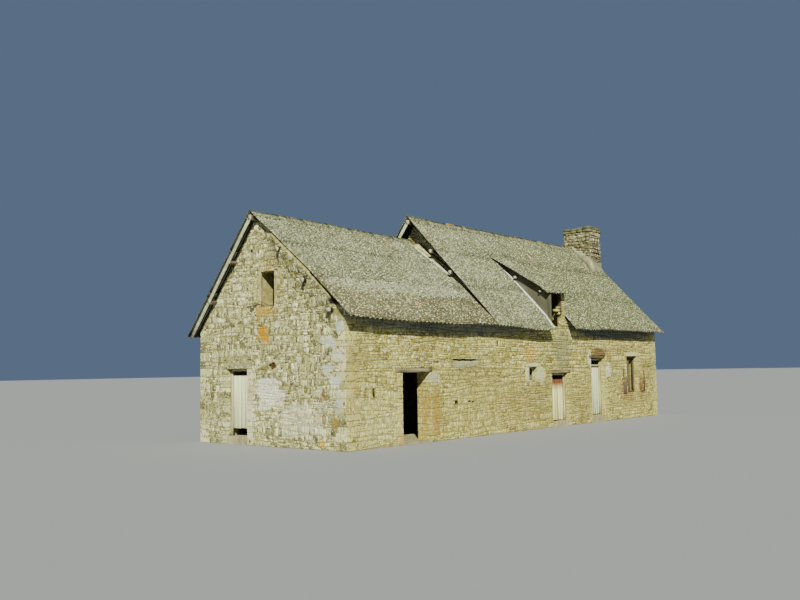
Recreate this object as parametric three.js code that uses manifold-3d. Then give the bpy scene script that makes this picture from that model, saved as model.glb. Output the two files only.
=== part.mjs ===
// Stone farmhouse: a byre and a taller house in one row, rubble walls under corrugated sheet roofs.
// Units are millimetres. X runs along the front wall, Y from front to back, Z up.
import * as THREE from "three";
import { mergeVertices } from "three/addons/utils/BufferGeometryUtils.js";
import Module from "manifold-3d";

const wasm = await Module();
wasm.setup();

// Plan of the walls, measured from the near corner of the front wall
const LENGTH = 18400;
const DEPTH = 6050;
const WALL = 500;
const CROSS = 6785;
const SEAT = 0.3;

// Roof planes: heights of eaves and ridges, and how far the sheets reach past the walls
const EAVE_FRONT = 390;
const EAVE_BACK = 265;
const EAVE_FRONT_Z = 3390;
const EAVE_BACK_Z = 3100;
const BYRE_RIDGE = [3453, 6550];
const BYRE_KINK = [950, 4585];
const HOUSE_RIDGE = [3194, 7180];
const VERGE_LEFT = 270;
const VERGE_CROSS = 488;
const VERGE_RIGHT = 60;
const SHEET = 60;
const CAP = 45;
const CAP_WING = 250;

// The byre's ridge has sunk towards the cross gable, and its slopes twist down with it
const SAG = { ridge: 117, start: 500, front: 950, back: 5550, steps: 20, play: 2 };

// Chimney on the right gable
const STACK = { x: 17460, y0: 2340, y1: 3590, corbel: 4900, breast: 5400, top: 7860, cap: 8120, lip: 55 };
const FLUE = { x0: 17740, x1: 18120, y0: 2660, y1: 3270, foot: 5600 };

// Openings: along the wall, and up from the lowest ground
const BYRE_DOOR = { x0: 2200, x1: 3430, sill: 50, head: 1950, lintel: 130 };
const SMALL_WINDOW = { x0: 8600, x1: 9150, sill: 1570, head: 2060, lintel: 120, bar: 8850 };
const STABLE_DOOR = { x0: 10050, x1: 11150, sill: 180, head: 1820, lintel: 110, leaf0: 200, leaf1: 1620 };
const HOUSE_DOOR = { x0: 12840, x1: 13820, sill: 250, head: 2330, lintel: 120, leaf0: 270, leaf1: 2040 };
const TALL_WINDOW = { x0: 15730, x1: 16650, sill: 1000, head: 2420, lintel: 170, bar: 16240 };
const GABLE_DOOR = { y0: 3880, y1: 4800, sill: 220, head: 2130, lintel: 270, leaf0: 430, leaf1: 1960 };
const LOFT_HATCH = { y0: 2720, y1: 3350, sill: 3840, head: 4830 };
const BACK_WINDOW = { x0: 13000, x1: 13550, sill: 1570, head: 2060 };
const BEARING = {
  byre: [280, 100], small: [120, 150], stable: [150, 150], house: [120, 120], tall: [150, 150],
};
const GABLE_BEARING = 150;
const FRAME = { y0: 150, y1: 210, small: 45, tall: 70 };

// Dormer that breaks the front eave
const DORMER = { verge: 9550, cheek: 9780, skin: 40, end: 11060, pier: 10800, sill: 3450, depth: 150 };
const DORMER_EAVE = [-250, 4610];
const DORMER_APEX = 2200;
const CHEEK = { front: -200, foot: 100 };

// Holes that fallen stones have left in the walls' faces: along the wall, up, and how deep they are
const FRONT_HOLES = [
  { from: 990, to: 1090, low: 1260, high: 1560, deep: 200 },
  { from: 3960, to: 4020, low: 1020, high: 1080, deep: 80 },
  { from: 4540, to: 4700, low: 980, high: 1110, deep: 150 },
  { from: 5200, to: 5330, low: 1035, high: 1085, deep: 70 },
  { from: 5370, to: 5500, low: 1020, high: 1060, deep: 70 },
];
const GABLE_HOLES = [
  { from: 2720, to: 2820, low: 2170, high: 2290, deep: 90 },
  { from: 2850, to: 2980, low: 2080, high: 2240, deep: 60 },
  { from: 3730, to: 3800, low: 5700, high: 5780, deep: 100 },
];
const CRACK = [
  [4350, 2290], [4600, 2330], [4830, 2300], [5010, 2345], [5240, 2285], [5520, 2320], [5800, 2290],
  [5540, 2275], [5230, 2235], [5000, 2280], [4820, 2255], [4590, 2290],
];
const CRACK_DEPTH = 70;

// Doors: rebate in the reveal, frame, leaf and the pins that it hangs on
const REBATE = 200;
const SPLAY = 100;
const POST = 60;
const LEAF = 40;
const LEAF_GAP = 6;
const LEAF_LAP = 30;
const PIN = { radius: 7, hole: 8, edge: 12, reach: 14, arm: 12, armIn: 9, armOut: 7, eye: 40, tip: 5 };
const HANGING = { aboveFoot: 200, belowTop: 260 };
const LEDGE = { inset: 60, below: 40, above: 60, thick: 25 };

// Floors, purlins and trusses
const BYRE_FLOOR = 50;
const HOUSE_FLOOR = 180;
const LOFT = { byre: 2600, house: 2900, thick: 150 };
const PURLIN = { width: 128, depth: 96 };
const RIDGE_BEAM = { half: 80, depth: 160 };
const TIMBER_INSET = 10;
const POCKET_PLAY = 20;
const TRUSS = { thick: 150, principal: 180, below: 120, byre: 3400, byreCollar: 5000, houseCollar: 5300 };
const HOUSE_TRUSSES = [9300, 13700];
const BYRE_PURLINS = { front: [1350, 2400], back: [5480, 4560] };
const HOUSE_PURLINS = { front: [1180, 2320], back: [5300, 4200] };
const PLATE = { y0: WALL + SEAT, y1: 640, z0: 3545, z1: 3690, out: 200 };

// Where the house roof's verge lies over the byre's sheets, from each eave
const LAPPED = { front: 350, back: 5200 };

// Materials with the colours of the photographed house
const material = (color, roughness) => new THREE.MeshStandardMaterial({ color, roughness, metalness: 0 });
const rubble = material(0xb3a681, 0.95);
const paleStone = material(0xc2b795, 0.92);
const sheet = material(0x8b8775, 0.9);
const cheekSheet = material(0x77705f, 0.85);
const oldTimber = material(0x6b5a45, 0.9);
const paleBoards = material(0xc7c6b4, 0.8);
const earthFloor = material(0x877a63, 0.97);

// A closed solid for joins and cuts, from any closed geometry
function solid(geometry) {
  geometry.deleteAttribute("normal");
  geometry.deleteAttribute("uv");
  const merged = mergeVertices(geometry, 1e-3);
  return new wasm.Manifold(new wasm.Mesh({
    numProp: 3,
    vertProperties: Float32Array.from(merged.attributes.position.array),
    triVerts: Uint32Array.from(merged.index.array),
  }));
}

function box(x0, x1, y0, y1, z0, z1) {
  const geometry = new THREE.BoxGeometry(x1 - x0, y1 - y0, z1 - z0);
  geometry.translate((x0 + x1) / 2, (y0 + y1) / 2, (z0 + z1) / 2);
  return solid(geometry);
}

// An outline of [y, z] points drawn out along X
function prismX(x0, x1, outline) {
  const shape = new THREE.Shape(outline.map(([y, z]) => new THREE.Vector2(y, z)));
  const geometry = new THREE.ExtrudeGeometry(shape, { depth: x1 - x0, bevelEnabled: false });
  const turn = new THREE.Matrix4().makeBasis(
    new THREE.Vector3(0, 1, 0), new THREE.Vector3(0, 0, 1), new THREE.Vector3(1, 0, 0));
  geometry.applyMatrix4(turn);
  geometry.translate(x0, 0, 0);
  return solid(geometry);
}

// How far the byre's roof has sunk at a place in plan
function sag(x, y) {
  const along = Math.min(Math.max((x - SAG.start) / (CROSS - SAG.start), 0), 1);
  const front = (y - SAG.front) / (BYRE_RIDGE[0] - SAG.front);
  const back = (SAG.back - y) / (SAG.back - BYRE_RIDGE[0]);
  return SAG.ridge * along * Math.max(Math.min(front, back), 0);
}

// An outline of [y, z] points drawn out along X under the sagging roof, section by section
function saggingPrism(x0, x1, outline) {
  const shape = outline.map(([y, z]) => new THREE.Vector2(y, z));
  if (THREE.ShapeUtils.isClockWise(shape)) shape.reverse();
  const sections = [x0];
  for (let i = 0; i <= SAG.steps; i += 1) {
    const x = SAG.start + ((CROSS - SEAT - SAG.start) * i) / SAG.steps;
    if (x > x0 && x < x1) sections.push(x);
  }
  sections.push(x1);
  const points = sections.flatMap((x) => shape.flatMap(({ x: y, y: z }) => [x, y, z - sag(x, y)]));
  const size = shape.length;
  const last = size * (sections.length - 1);
  const ends = THREE.ShapeUtils.triangulateShape(shape, []);
  const faces = ends.flatMap(([a, b, c]) => [a, c, b, last + a, last + b, last + c]);
  for (let s = 0; s < last; s += size) {
    for (let i = 0; i < size; i += 1) {
      const j = (i + 1) % size;
      const [a, b, c, d] = [s + i, s + j, s + size + j, s + size + i];
      const rising = shape[j].x > shape[i].x;
      faces.push(...(rising ? [a, b, c, a, c, d] : [a, b, d, b, c, d]));
    }
  }
  const geometry = new THREE.BufferGeometry();
  geometry.setAttribute("position", new THREE.Float32BufferAttribute(points, 3));
  geometry.setIndex(faces);
  return solid(geometry);
}

// An outline of [x, z] points drawn out along Y
function prismY(y0, y1, outline) {
  const shape = new THREE.Shape(outline.map(([x, z]) => new THREE.Vector2(x, z)));
  const geometry = new THREE.ExtrudeGeometry(shape, { depth: y1 - y0, bevelEnabled: false });
  geometry.rotateX(Math.PI / 2);
  geometry.translate(0, y1, 0);
  return solid(geometry);
}

function pin(x, y, z0, z1, radius) {
  const geometry = new THREE.CylinderGeometry(radius, radius, z1 - z0, 12);
  geometry.rotateX(Math.PI / 2);
  geometry.translate(x, y, (z0 + z1) / 2);
  return solid(geometry);
}

function mesh(name, body, finish) {
  const { vertProperties, triVerts } = body.getMesh();
  const geometry = new THREE.BufferGeometry();
  geometry.setAttribute("position", new THREE.BufferAttribute(vertProperties, 3));
  geometry.setIndex(new THREE.BufferAttribute(triVerts, 1));
  geometry.computeVertexNormals();
  const piece = new THREE.Mesh(geometry, finish);
  piece.name = name;
  return piece;
}

// A line of [y, z] points moved down by a distance square to each stretch, with mitred corners
function below(line, distance) {
  const normals = line.slice(1).map(([y, z], i) => {
    const [dy, dz] = [y - line[i][0], z - line[i][1]];
    const length = Math.hypot(dy, dz);
    return [dz / length, -dy / length];
  });
  return line.map(([y, z], i) => {
    const [ay, az] = normals[Math.max(i - 1, 0)];
    const [by, bz] = normals[Math.min(i, normals.length - 1)];
    const [my, mz] = [ay + by, az + bz];
    const scale = (2 * distance) / (my * my + mz * mz);
    return [y + my * scale, z + mz * scale];
  });
}

// Height of a line of [y, z] points at y
function heightAt(line, y) {
  const i = Math.min(Math.max(line.findIndex((point) => point[0] >= y), 1), line.length - 1);
  const [[y0, z0], [y1, z1]] = [line[i - 1], line[i]];
  return z0 + ((z1 - z0) * (y - y0)) / (y1 - y0);
}

const frontEave = [-EAVE_FRONT, EAVE_FRONT_Z];
const backEave = [DEPTH + EAVE_BACK, EAVE_BACK_Z];
const onBack = (y) => BYRE_RIDGE[1] + ((EAVE_BACK_Z - BYRE_RIDGE[1]) * (y - BYRE_RIDGE[0])) /
  (DEPTH + EAVE_BACK - BYRE_RIDGE[0]);
const byreTop = [frontEave, BYRE_KINK, BYRE_RIDGE, [SAG.back, onBack(SAG.back)], backEave];
const houseTop = [frontEave, HOUSE_RIDGE, backEave];
const byreUnder = below(byreTop, SHEET);
const houseUnder = below(houseTop, SHEET);
const FAR = 20000;

// Everything under a roof, a seat's width below its sheets
const underRoof = (draw, x0, x1, under) => draw(x0, x1, [
  [-FAR, -FAR], [FAR, -FAR], [FAR, under.at(-1)[1]],
  ...under.map(([y, z]) => [y, z - SEAT]).reverse(),
  [-FAR, under[0][1]],
]);
const underByre = underRoof(saggingPrism, -VERGE_LEFT, CROSS, byreUnder);
const underHouse = underRoof(prismX, CROSS, FAR, houseUnder);
const underBoth = underByre.add(underHouse);
const openTop = box(DORMER.cheek, DORMER.end, -1, WALL + 1, DORMER.sill, FAR);

const root = new THREE.Group();
const add = (name, body, finish, parent = root) => parent.add(mesh(name, body, finish));

// Timbers of each roof: purlins and ridge beam run through the gables, and trusses hold them between
function purlin(draw, x0, x1, under, y, drop = SEAT) {
  const slope = y < Math.min(BYRE_RIDGE[0], HOUSE_RIDGE[0]);
  const side = slope ? 1 : -1;
  const outer = heightAt(under, y) - drop;
  const inner = heightAt(under, y + side * PURLIN.width) - drop;
  const foot = Math.min(outer, inner) - PURLIN.depth;
  const line = slope
    ? [[y, foot], [y + PURLIN.width, foot], [y + PURLIN.width, inner], [y, outer]]
    : [[y - PURLIN.width, foot], [y, foot], [y, outer], [y - PURLIN.width, inner]];
  return draw(x0, x1, line);
}

function ridgeBeam(draw, x0, x1, under, ridge, drop = SEAT) {
  const { half, depth } = RIDGE_BEAM;
  const [y, z] = under[ridge];
  const [front, back] = [heightAt(under, y - half) - drop, heightAt(under, y + half) - drop];
  const foot = Math.min(front, back) - depth;
  return draw(x0, x1, [
    [y - half, foot], [y + half, foot], [y + half, back], [y, z - drop], [y - half, front],
  ]);
}

// A truss: two principals on posts that stand on the loft floor, and a collar between them
function truss(x, top, collar, floor) {
  const { thick, principal } = TRUSS;
  const outer = below(top, SHEET + TRUSS.below);
  const inner = below(top, SHEET + TRUSS.below + principal);
  const frame = prismX(x, x + thick, [...outer, ...inner.reverse()]);
  const frontPost = box(x, x + thick, 0, WALL + thick, floor, FAR);
  const backPost = box(x, x + thick, DEPTH - WALL - thick, DEPTH, floor, FAR);
  const tie = box(x, x + thick, 0, DEPTH, collar, collar + principal);
  const inside = prismX(x - 1, x + thick + 1, [
    [-FAR, -FAR], [FAR, -FAR], [FAR, outer.at(-1)[1]], ...[...outer].reverse(), [-FAR, outer[0][1]],
  ]);
  const room = box(x, x + thick, WALL + SEAT, DEPTH - WALL - SEAT, floor + SEAT, FAR);
  return frame.add(tie.add(frontPost).add(backPost).intersect(inside)).intersect(room);
}

const byreStart = -VERGE_LEFT + TIMBER_INSET;
const byreRows = [...BYRE_PURLINS.front, ...BYRE_PURLINS.back];
let byreTimbers = truss(TRUSS.byre, byreTop, TRUSS.byreCollar, LOFT.byre + LOFT.thick)
  .add(ridgeBeam(saggingPrism, byreStart, CROSS - SEAT, byreUnder, 2, SAG.play))
  .add(box(-PLATE.out, CROSS - SEAT, PLATE.y0, PLATE.y1, PLATE.z0, PLATE.z1));
for (const y of byreRows) {
  byreTimbers = byreTimbers.add(purlin(saggingPrism, byreStart, CROSS - SEAT, byreUnder, y, SAG.play));
}

const houseStart = CROSS - VERGE_CROSS + TIMBER_INSET;
const houseEnd = LENGTH - WALL - SEAT;
let houseTimbers = ridgeBeam(prismX, houseStart, STACK.x - SEAT, houseUnder, 1);
for (const x of HOUSE_TRUSSES) {
  houseTimbers = houseTimbers.add(truss(x, houseTop, TRUSS.houseCollar, LOFT.house + LOFT.thick));
}
for (const y of HOUSE_PURLINS.front) {
  houseTimbers = houseTimbers.add(purlin(prismX, houseStart, houseEnd, houseUnder, y));
}
for (const y of HOUSE_PURLINS.back) {
  houseTimbers = houseTimbers.add(purlin(prismX, CROSS + SEAT, houseEnd, houseUnder, y));
}
const dormerBay = box(DORMER.cheek - SEAT, DORMER.end + SEAT, -FAR, DORMER_APEX + SEAT, LOFT.house, FAR);
const aroundStack = box(STACK.x - SEAT, FAR, STACK.y0 - SEAT, STACK.y1 + SEAT, STACK.corbel, FAR);
houseTimbers = houseTimbers.subtract(dormerBay).subtract(aroundStack);

// The same timbers a seat wider all round, to cut their pockets from the walls they pass through
const grown = (x0, x1, under, ys, ridge, drop = 0) => {
  const cut = ys.map((y) => purlin(prismX, x0, x1, under, y, drop))
    .concat([ridgeBeam(prismX, x0, x1, under, ridge, drop + SEAT)]);
  return cut.reduce((sum, piece) => {
    const shifts = [[SEAT, -2 * SEAT], [-SEAT, -2 * SEAT], [SEAT, POCKET_PLAY], [-SEAT, POCKET_PLAY]];
    return shifts.reduce((whole, [y, z]) => whole.add(piece.translate(0, y, z)), sum);
  }, box(x0, x0 + 1, -FAR, -FAR + 1, -FAR, -FAR + 1));
};
const byreDrop = SAG.play - SEAT;
const byrePockets = grown(-WALL, WALL + 1, byreUnder, byreRows, 2, byreDrop)
  .add(box(-WALL, WALL + 1, PLATE.y0 - SEAT, PLATE.y1 + SEAT, PLATE.z0 - SEAT, PLATE.z1 + SEAT));
const crossPockets = grown(
  CROSS - 1, CROSS + WALL + 1, houseUnder, [...HOUSE_PURLINS.front, ...HOUSE_PURLINS.back], 1);

// Doorway with a rebate for its leaf: the inner part is wider
function doorway(x0, x1, z0, z1) {
  return box(x0, x1, -1, REBATE, z0, z1).add(box(x0 - SPLAY, x1 + SPLAY, REBATE, WALL + 1, z0, z1));
}
const lintelBox = ({ x0, x1, head, lintel }, [left, right]) =>
  box(x0 - left, x1 + right, 0, WALL, head, head + lintel);

const byreLintel = lintelBox(BYRE_DOOR, BEARING.byre);
const smallLintel = lintelBox(SMALL_WINDOW, BEARING.small);
const stableLintel = lintelBox(STABLE_DOOR, BEARING.stable);
const houseLintel = lintelBox(HOUSE_DOOR, BEARING.house);
const tallLintel = lintelBox(TALL_WINDOW, BEARING.tall);
const gableLintel = box(0, WALL, GABLE_DOOR.y0 - GABLE_BEARING, GABLE_DOOR.y1 + GABLE_BEARING,
  GABLE_DOOR.head, GABLE_DOOR.head + GABLE_DOOR.lintel);

// Front wall, from the byre's gable to the chimney gable, split beside and over each doorway
const frontWall = (x0, x1, z0 = 0) => box(x0, x1, 0, WALL, z0, FAR).intersect(underBoth).subtract(openTop);
const stableDoorway = doorway(STABLE_DOOR.x0, STABLE_DOOR.x1, -1, STABLE_DOOR.head);
const houseDoorway = doorway(HOUSE_DOOR.x0, HOUSE_DOOR.x1, -1, HOUSE_DOOR.head);
const through = ({ x0, x1, sill, head }, y0 = -1, y1 = WALL + 1) => box(x0, x1, y0, y1, sill, head);
const dormerCorner = box(DORMER.pier, DORMER.end, -1, WALL + 1, DORMER.sill, FAR);

const lostStones = (holes) => holes.map(({ from, to, low, high, deep }) => box(from, to, -1, deep, low, high))
  .reduce((sum, hole) => sum.add(hole));
const frontHoles = lostStones(FRONT_HOLES).add(prismY(-1, CRACK_DEPTH, CRACK));

add("front_wall_left_end", frontWall(WALL, BYRE_DOOR.x0).subtract(byreLintel).subtract(frontHoles), rubble);
add("front_wall_over_byre_door",
  frontWall(BYRE_DOOR.x0, BYRE_DOOR.x1, BYRE_DOOR.head + BYRE_DOOR.lintel), rubble);
add("front_wall_middle",
  frontWall(BYRE_DOOR.x1, STABLE_DOOR.x0).subtract(byreLintel).subtract(smallLintel)
    .subtract(through(SMALL_WINDOW)).subtract(stableLintel).subtract(stableDoorway)
    .subtract(frontHoles), rubble);
add("front_wall_over_stable_door",
  frontWall(STABLE_DOOR.x0, STABLE_DOOR.x1, STABLE_DOOR.head + STABLE_DOOR.lintel)
    .subtract(dormerCorner), rubble);
add("front_wall_between_doors",
  frontWall(STABLE_DOOR.x1, HOUSE_DOOR.x0).subtract(stableLintel).subtract(houseLintel)
    .subtract(stableDoorway).subtract(houseDoorway), rubble);
add("front_wall_over_house_door",
  frontWall(HOUSE_DOOR.x0, HOUSE_DOOR.x1, HOUSE_DOOR.head + HOUSE_DOOR.lintel), rubble);
add("front_wall_right_end",
  frontWall(HOUSE_DOOR.x1, LENGTH - WALL).subtract(houseLintel).subtract(houseDoorway)
    .subtract(tallLintel).subtract(through(TALL_WINDOW)), rubble);

add("byre_door_lintel", byreLintel, oldTimber);
add("small_window_lintel", smallLintel, paleStone);
add("stable_door_lintel", stableLintel, oldTimber);
add("house_door_lintel", houseLintel, oldTimber);
add("tall_window_lintel", tallLintel, paleStone);
add("gable_door_lintel", gableLintel, paleStone);

// Back wall, with one small window as on the front
add("back_wall",
  box(WALL, LENGTH - WALL, DEPTH - WALL, DEPTH, 0, FAR).intersect(underBoth)
    .subtract(through(BACK_WINDOW, DEPTH - WALL - 1, DEPTH + 1)), rubble);

// Left gable: two sides of its doorway and the part above
const gableDoorway = box(-1, REBATE, GABLE_DOOR.y0, GABLE_DOOR.y1, -1, GABLE_DOOR.head)
  .add(box(REBATE, WALL + 1, GABLE_DOOR.y0 - SPLAY, GABLE_DOOR.y1 + SPLAY, -1, GABLE_DOOR.head));
const gableSplit = GABLE_DOOR.head + GABLE_DOOR.lintel;
const gableHoles = GABLE_HOLES.map(({ from, to, low, high, deep }) => box(-1, deep, from, to, low, high))
  .reduce((sum, hole) => sum.add(hole));
const gableSide = (y0, y1) =>
  box(0, WALL, y0, y1, 0, gableSplit).subtract(gableDoorway).subtract(gableLintel).subtract(gableHoles);
add("left_gable_wall_front_side", gableSide(0, GABLE_DOOR.y0), rubble);
add("left_gable_wall_back_side", gableSide(GABLE_DOOR.y1, DEPTH), rubble);
add("left_gable_wall_upper",
  box(0, WALL, 0, DEPTH, gableSplit, FAR).intersect(underByre).subtract(byrePockets).subtract(gableHoles)
    .subtract(box(-1, WALL + 1, LOFT_HATCH.y0, LOFT_HATCH.y1, LOFT_HATCH.sill, LOFT_HATCH.head)), rubble);

// Gable between byre and house, and the chimney gable
add("cross_gable_wall",
  box(CROSS, CROSS + WALL, WALL, DEPTH - WALL, 0, FAR).intersect(underHouse).subtract(crossPockets), rubble);
const stackSeat = box(LENGTH - WALL - 1, LENGTH + 1, STACK.y0, STACK.y1, STACK.corbel, FAR);
add("right_gable_wall",
  box(LENGTH - WALL, LENGTH, 0, DEPTH, 0, FAR).intersect(underHouse).subtract(stackSeat), rubble);

// Chimney: a stack that is corbelled inwards over the gable, a flue and a cap of rough slabs
const flue = box(FLUE.x0, FLUE.x1, FLUE.y0, FLUE.y1, FLUE.foot, FAR);
add("chimney_stack",
  prismY(STACK.y0, STACK.y1, [
    [LENGTH, STACK.corbel], [LENGTH, STACK.top], [STACK.x, STACK.top],
    [STACK.x, STACK.breast], [LENGTH - WALL, STACK.corbel],
  ]).subtract(flue), rubble);
add("chimney_cap",
  box(STACK.x - STACK.lip, LENGTH + STACK.lip, STACK.y0 - STACK.lip, STACK.y1 + STACK.lip,
    STACK.top, STACK.cap).subtract(flue), paleStone);

// Floors: stone and earth below, boards on joists above
const insideY = [WALL, DEPTH - WALL];
const sillStone = ({ x0, x1, sill }) => box(x0, x1, 0, REBATE + 1, 0, sill)
  .add(box(x0 - SPLAY, x1 + SPLAY, REBATE, WALL + 1, 0, sill));
const byreSill = box(BYRE_DOOR.x0, BYRE_DOOR.x1, 0, WALL + 1, 0, BYRE_DOOR.sill);
const gableSill = box(0, REBATE + 1, GABLE_DOOR.y0, GABLE_DOOR.y1, 0, GABLE_DOOR.sill)
  .add(box(REBATE, WALL + 1, GABLE_DOOR.y0 - SPLAY, GABLE_DOOR.y1 + SPLAY, 0, GABLE_DOOR.sill));
add("byre_ground_floor",
  box(WALL, CROSS, ...insideY, 0, BYRE_FLOOR).add(byreSill).add(gableSill), earthFloor);
add("house_ground_floor",
  box(CROSS + WALL, LENGTH - WALL, ...insideY, 0, HOUSE_FLOOR)
    .add(sillStone(STABLE_DOOR)).add(sillStone(HOUSE_DOOR)), earthFloor);
add("byre_loft_floor", box(WALL, CROSS, ...insideY, LOFT.byre, LOFT.byre + LOFT.thick), oldTimber);
add("house_loft_floor",
  box(CROSS + WALL, LENGTH - WALL, ...insideY, LOFT.house, LOFT.house + LOFT.thick), oldTimber);

add("byre_roof_timbers", byreTimbers, oldTimber);
add("house_roof_timbers", houseTimbers, oldTimber);

// Byre roof. Near the eaves it stops where the house roof's verge lies over it.
const slab = (draw, x0, x1, top, from, to) => {
  const under = below(top, SHEET);
  return draw(x0, x1, [...under.slice(from, to + 1), ...top.slice(from, to + 1).reverse()]);
};
const byreSlab = (from, to) => slab(saggingPrism, -VERGE_LEFT, CROSS - SEAT, byreTop, from, to);
const vergeX = CROSS - VERGE_CROSS;
const lapFront = box(vergeX - SEAT, FAR, -FAR, LAPPED.front, 0, FAR);
const lapBack = box(vergeX - SEAT, FAR, LAPPED.back, FAR, 0, FAR);
add("byre_roof_front_lower", byreSlab(0, 1).subtract(lapFront), sheet);
add("byre_roof_front_upper", byreSlab(1, 2).translate(0, SEAT, 0), sheet);
add("byre_roof_back", byreSlab(2, 4).translate(0, 2 * SEAT, 0).subtract(lapBack), sheet);

// House roof: the front is in three pieces round the dormer, and both sides are notched at the chimney
const houseX1 = LENGTH + VERGE_RIGHT;
const houseFront = (x0, x1) => slab(prismX, x0, x1, houseTop, 0, 1).subtract(aroundStack);
add("house_roof_front_left", houseFront(vergeX, DORMER.cheek - SEAT), sheet);
add("house_roof_over_dormer",
  houseFront(DORMER.cheek, DORMER.end).subtract(box(0, FAR, -FAR, DORMER_APEX, 0, FAR)), sheet);
add("house_roof_front_right", houseFront(DORMER.end + SEAT, houseX1), sheet);
add("house_roof_back",
  slab(prismX, vergeX, houseX1, houseTop, 1, 2).translate(0, SEAT, 0).subtract(aroundStack), sheet);

// Ridge caps ride over both slopes
function ridgeCap(draw, x0, x1, top, ridge) {
  const [y, z] = top[ridge];
  const wing = (at) => [at, heightAt(top, at)];
  const line = [wing(y - CAP_WING), [y, z], wing(y + CAP_WING)];
  return draw(x0, x1, [...below(line, -3 * SEAT), ...below(line, -CAP).reverse()]);
}
add("byre_ridge_cap", ridgeCap(saggingPrism, -VERGE_LEFT, CROSS - SEAT, byreTop, 2), sheet);
add("house_ridge_cap", ridgeCap(prismX, vergeX, STACK.x - SEAT, houseTop, 1), sheet);

// Dormer: one flat slope, two cheeks and a broken stone pier beside the opening
const apex = [DORMER_APEX, heightAt(houseTop, DORMER_APEX)];
const dormerTop = [DORMER_EAVE, apex];
const dormerUnder = below(dormerTop, SHEET);
const houseSurface = (x0, x1, lift) => prismX(x0, x1, [
  [-FAR, -FAR], [HOUSE_RIDGE[0], -FAR], [HOUSE_RIDGE[0], HOUSE_RIDGE[1] + lift],
  [frontEave[0], frontEave[1] + lift], [-FAR, frontEave[1] + lift],
]);
add("dormer_roof",
  prismX(DORMER.verge, DORMER.end, [...dormerUnder, ...[...dormerTop].reverse()])
    .subtract(box(0, FAR, DORMER_APEX - SEAT, FAR, 0, FAR))
    .subtract(houseSurface(0, DORMER.cheek, SEAT)), sheet);
const underDormer = prismX(0, FAR, [
  [-FAR, -FAR], [DORMER_APEX - SEAT, -FAR],
  [DORMER_APEX - SEAT, heightAt(dormerUnder, DORMER_APEX - SEAT) - SEAT],
  [dormerUnder[0][0], dormerUnder[0][1] - SEAT], [-FAR, dormerUnder[0][1] - SEAT],
]);
const cheekFoot = below(houseTop, CHEEK.foot);
function cheek(x, y0) {
  const face = prismX(x, x + DORMER.skin, [
    [y0, heightAt(cheekFoot, y0)], [DORMER_APEX - SEAT, heightAt(cheekFoot, DORMER_APEX)],
    [DORMER_APEX - SEAT, FAR], [y0, FAR],
  ]);
  return face.intersect(underDormer);
}
const wallCut = box(0, FAR, -SEAT, WALL + SEAT, 0, DORMER.sill + SEAT);
add("dormer_left_cheek",
  cheek(DORMER.cheek, CHEEK.front).subtract(wallCut), cheekSheet);
add("dormer_right_cheek",
  cheek(DORMER.end - DORMER.skin, DORMER.depth + SEAT).subtract(wallCut), cheekSheet);
add("dormer_pier",
  box(DORMER.pier, DORMER.end, 0, DORMER.depth, DORMER.sill, FAR).intersect(underDormer), rubble);

// Window frames set back in their openings
function windowFrame({ x0, x1, sill, head, bar }, wide) {
  const panes = [[x0 + wide, bar - wide / 2], [bar + wide / 2, x1 - wide]];
  return panes.reduce(
    (frame, [a, b]) => frame.subtract(box(a, b, 0, WALL, sill + wide, head - wide)),
    box(x0, x1, FRAME.y0, FRAME.y1, sill, head));
}
add("small_window_frame", windowFrame(SMALL_WINDOW, FRAME.small), paleBoards);
add("tall_window_frame", windowFrame(TALL_WINDOW, FRAME.tall), oldTimber);

// A hung door in its own frame of reference: x along the wall from its hinge side, y into the house.
// The leaf's eyes sit on pins that the frame carries, and it opens inwards about them.
function hungDoor(name, width, { sill, head, leaf0, leaf1 }, crossbar, finish) {
  const group = new THREE.Group();
  let frame = box(0, width, REBATE - POST, REBATE, sill, head)
    .subtract(box(POST, width - POST, 0, WALL, sill - 1, head - POST));
  if (crossbar) {
    frame = frame.add(box(POST / 2, width - POST / 2, REBATE - POST, REBATE, crossbar, crossbar + POST));
  }
  const face = REBATE + LEAF_GAP;
  const back = face + LEAF;
  const axisX = LEAF_LAP - PIN.edge;
  let leaf = box(LEAF_LAP, width - LEAF_LAP, face, back, leaf0, leaf1);
  for (const z of [leaf0 + HANGING.aboveFoot, leaf1 - HANGING.belowTop]) {
    const eyeFoot = z + PIN.arm + SEAT;
    const eye = box(axisX - PIN.reach, axisX + PIN.reach, back - PIN.reach, back + PIN.reach,
      eyeFoot, eyeFoot + PIN.eye);
    leaf = leaf.add(eye).subtract(pin(axisX, back, eyeFoot - 1, eyeFoot + PIN.eye + 1, PIN.hole));
    const arm = box(axisX - PIN.armIn, axisX + PIN.armOut, REBATE - 1, back + PIN.armIn, z, z + PIN.arm);
    frame = frame.add(arm).add(pin(axisX, back, z, eyeFoot + PIN.eye + PIN.tip, PIN.radius));
    leaf = leaf.add(box(LEAF_LAP + LEDGE.inset, width - LEAF_LAP - LEDGE.inset, back - 1, back + LEDGE.thick,
      z - LEDGE.below, z + LEDGE.above));
  }
  add(`${name}_frame`, frame, oldTimber, group);
  add(`${name}_leaf`, leaf, finish, group);
  root.add(group);
  return group;
}
hungDoor("stable_door", STABLE_DOOR.x1 - STABLE_DOOR.x0, STABLE_DOOR, 0, paleBoards)
  .position.set(STABLE_DOOR.x0, 0, 0);
hungDoor("house_door", HOUSE_DOOR.x1 - HOUSE_DOOR.x0, HOUSE_DOOR, HOUSE_DOOR.leaf1 + 10, paleBoards)
  .position.set(HOUSE_DOOR.x0, 0, 0);
const gableDoor = hungDoor("gable_door", GABLE_DOOR.y1 - GABLE_DOOR.y0, GABLE_DOOR, 0, paleBoards);
gableDoor.position.set(0, GABLE_DOOR.y1, 0);
gableDoor.rotation.z = -Math.PI / 2;

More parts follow.
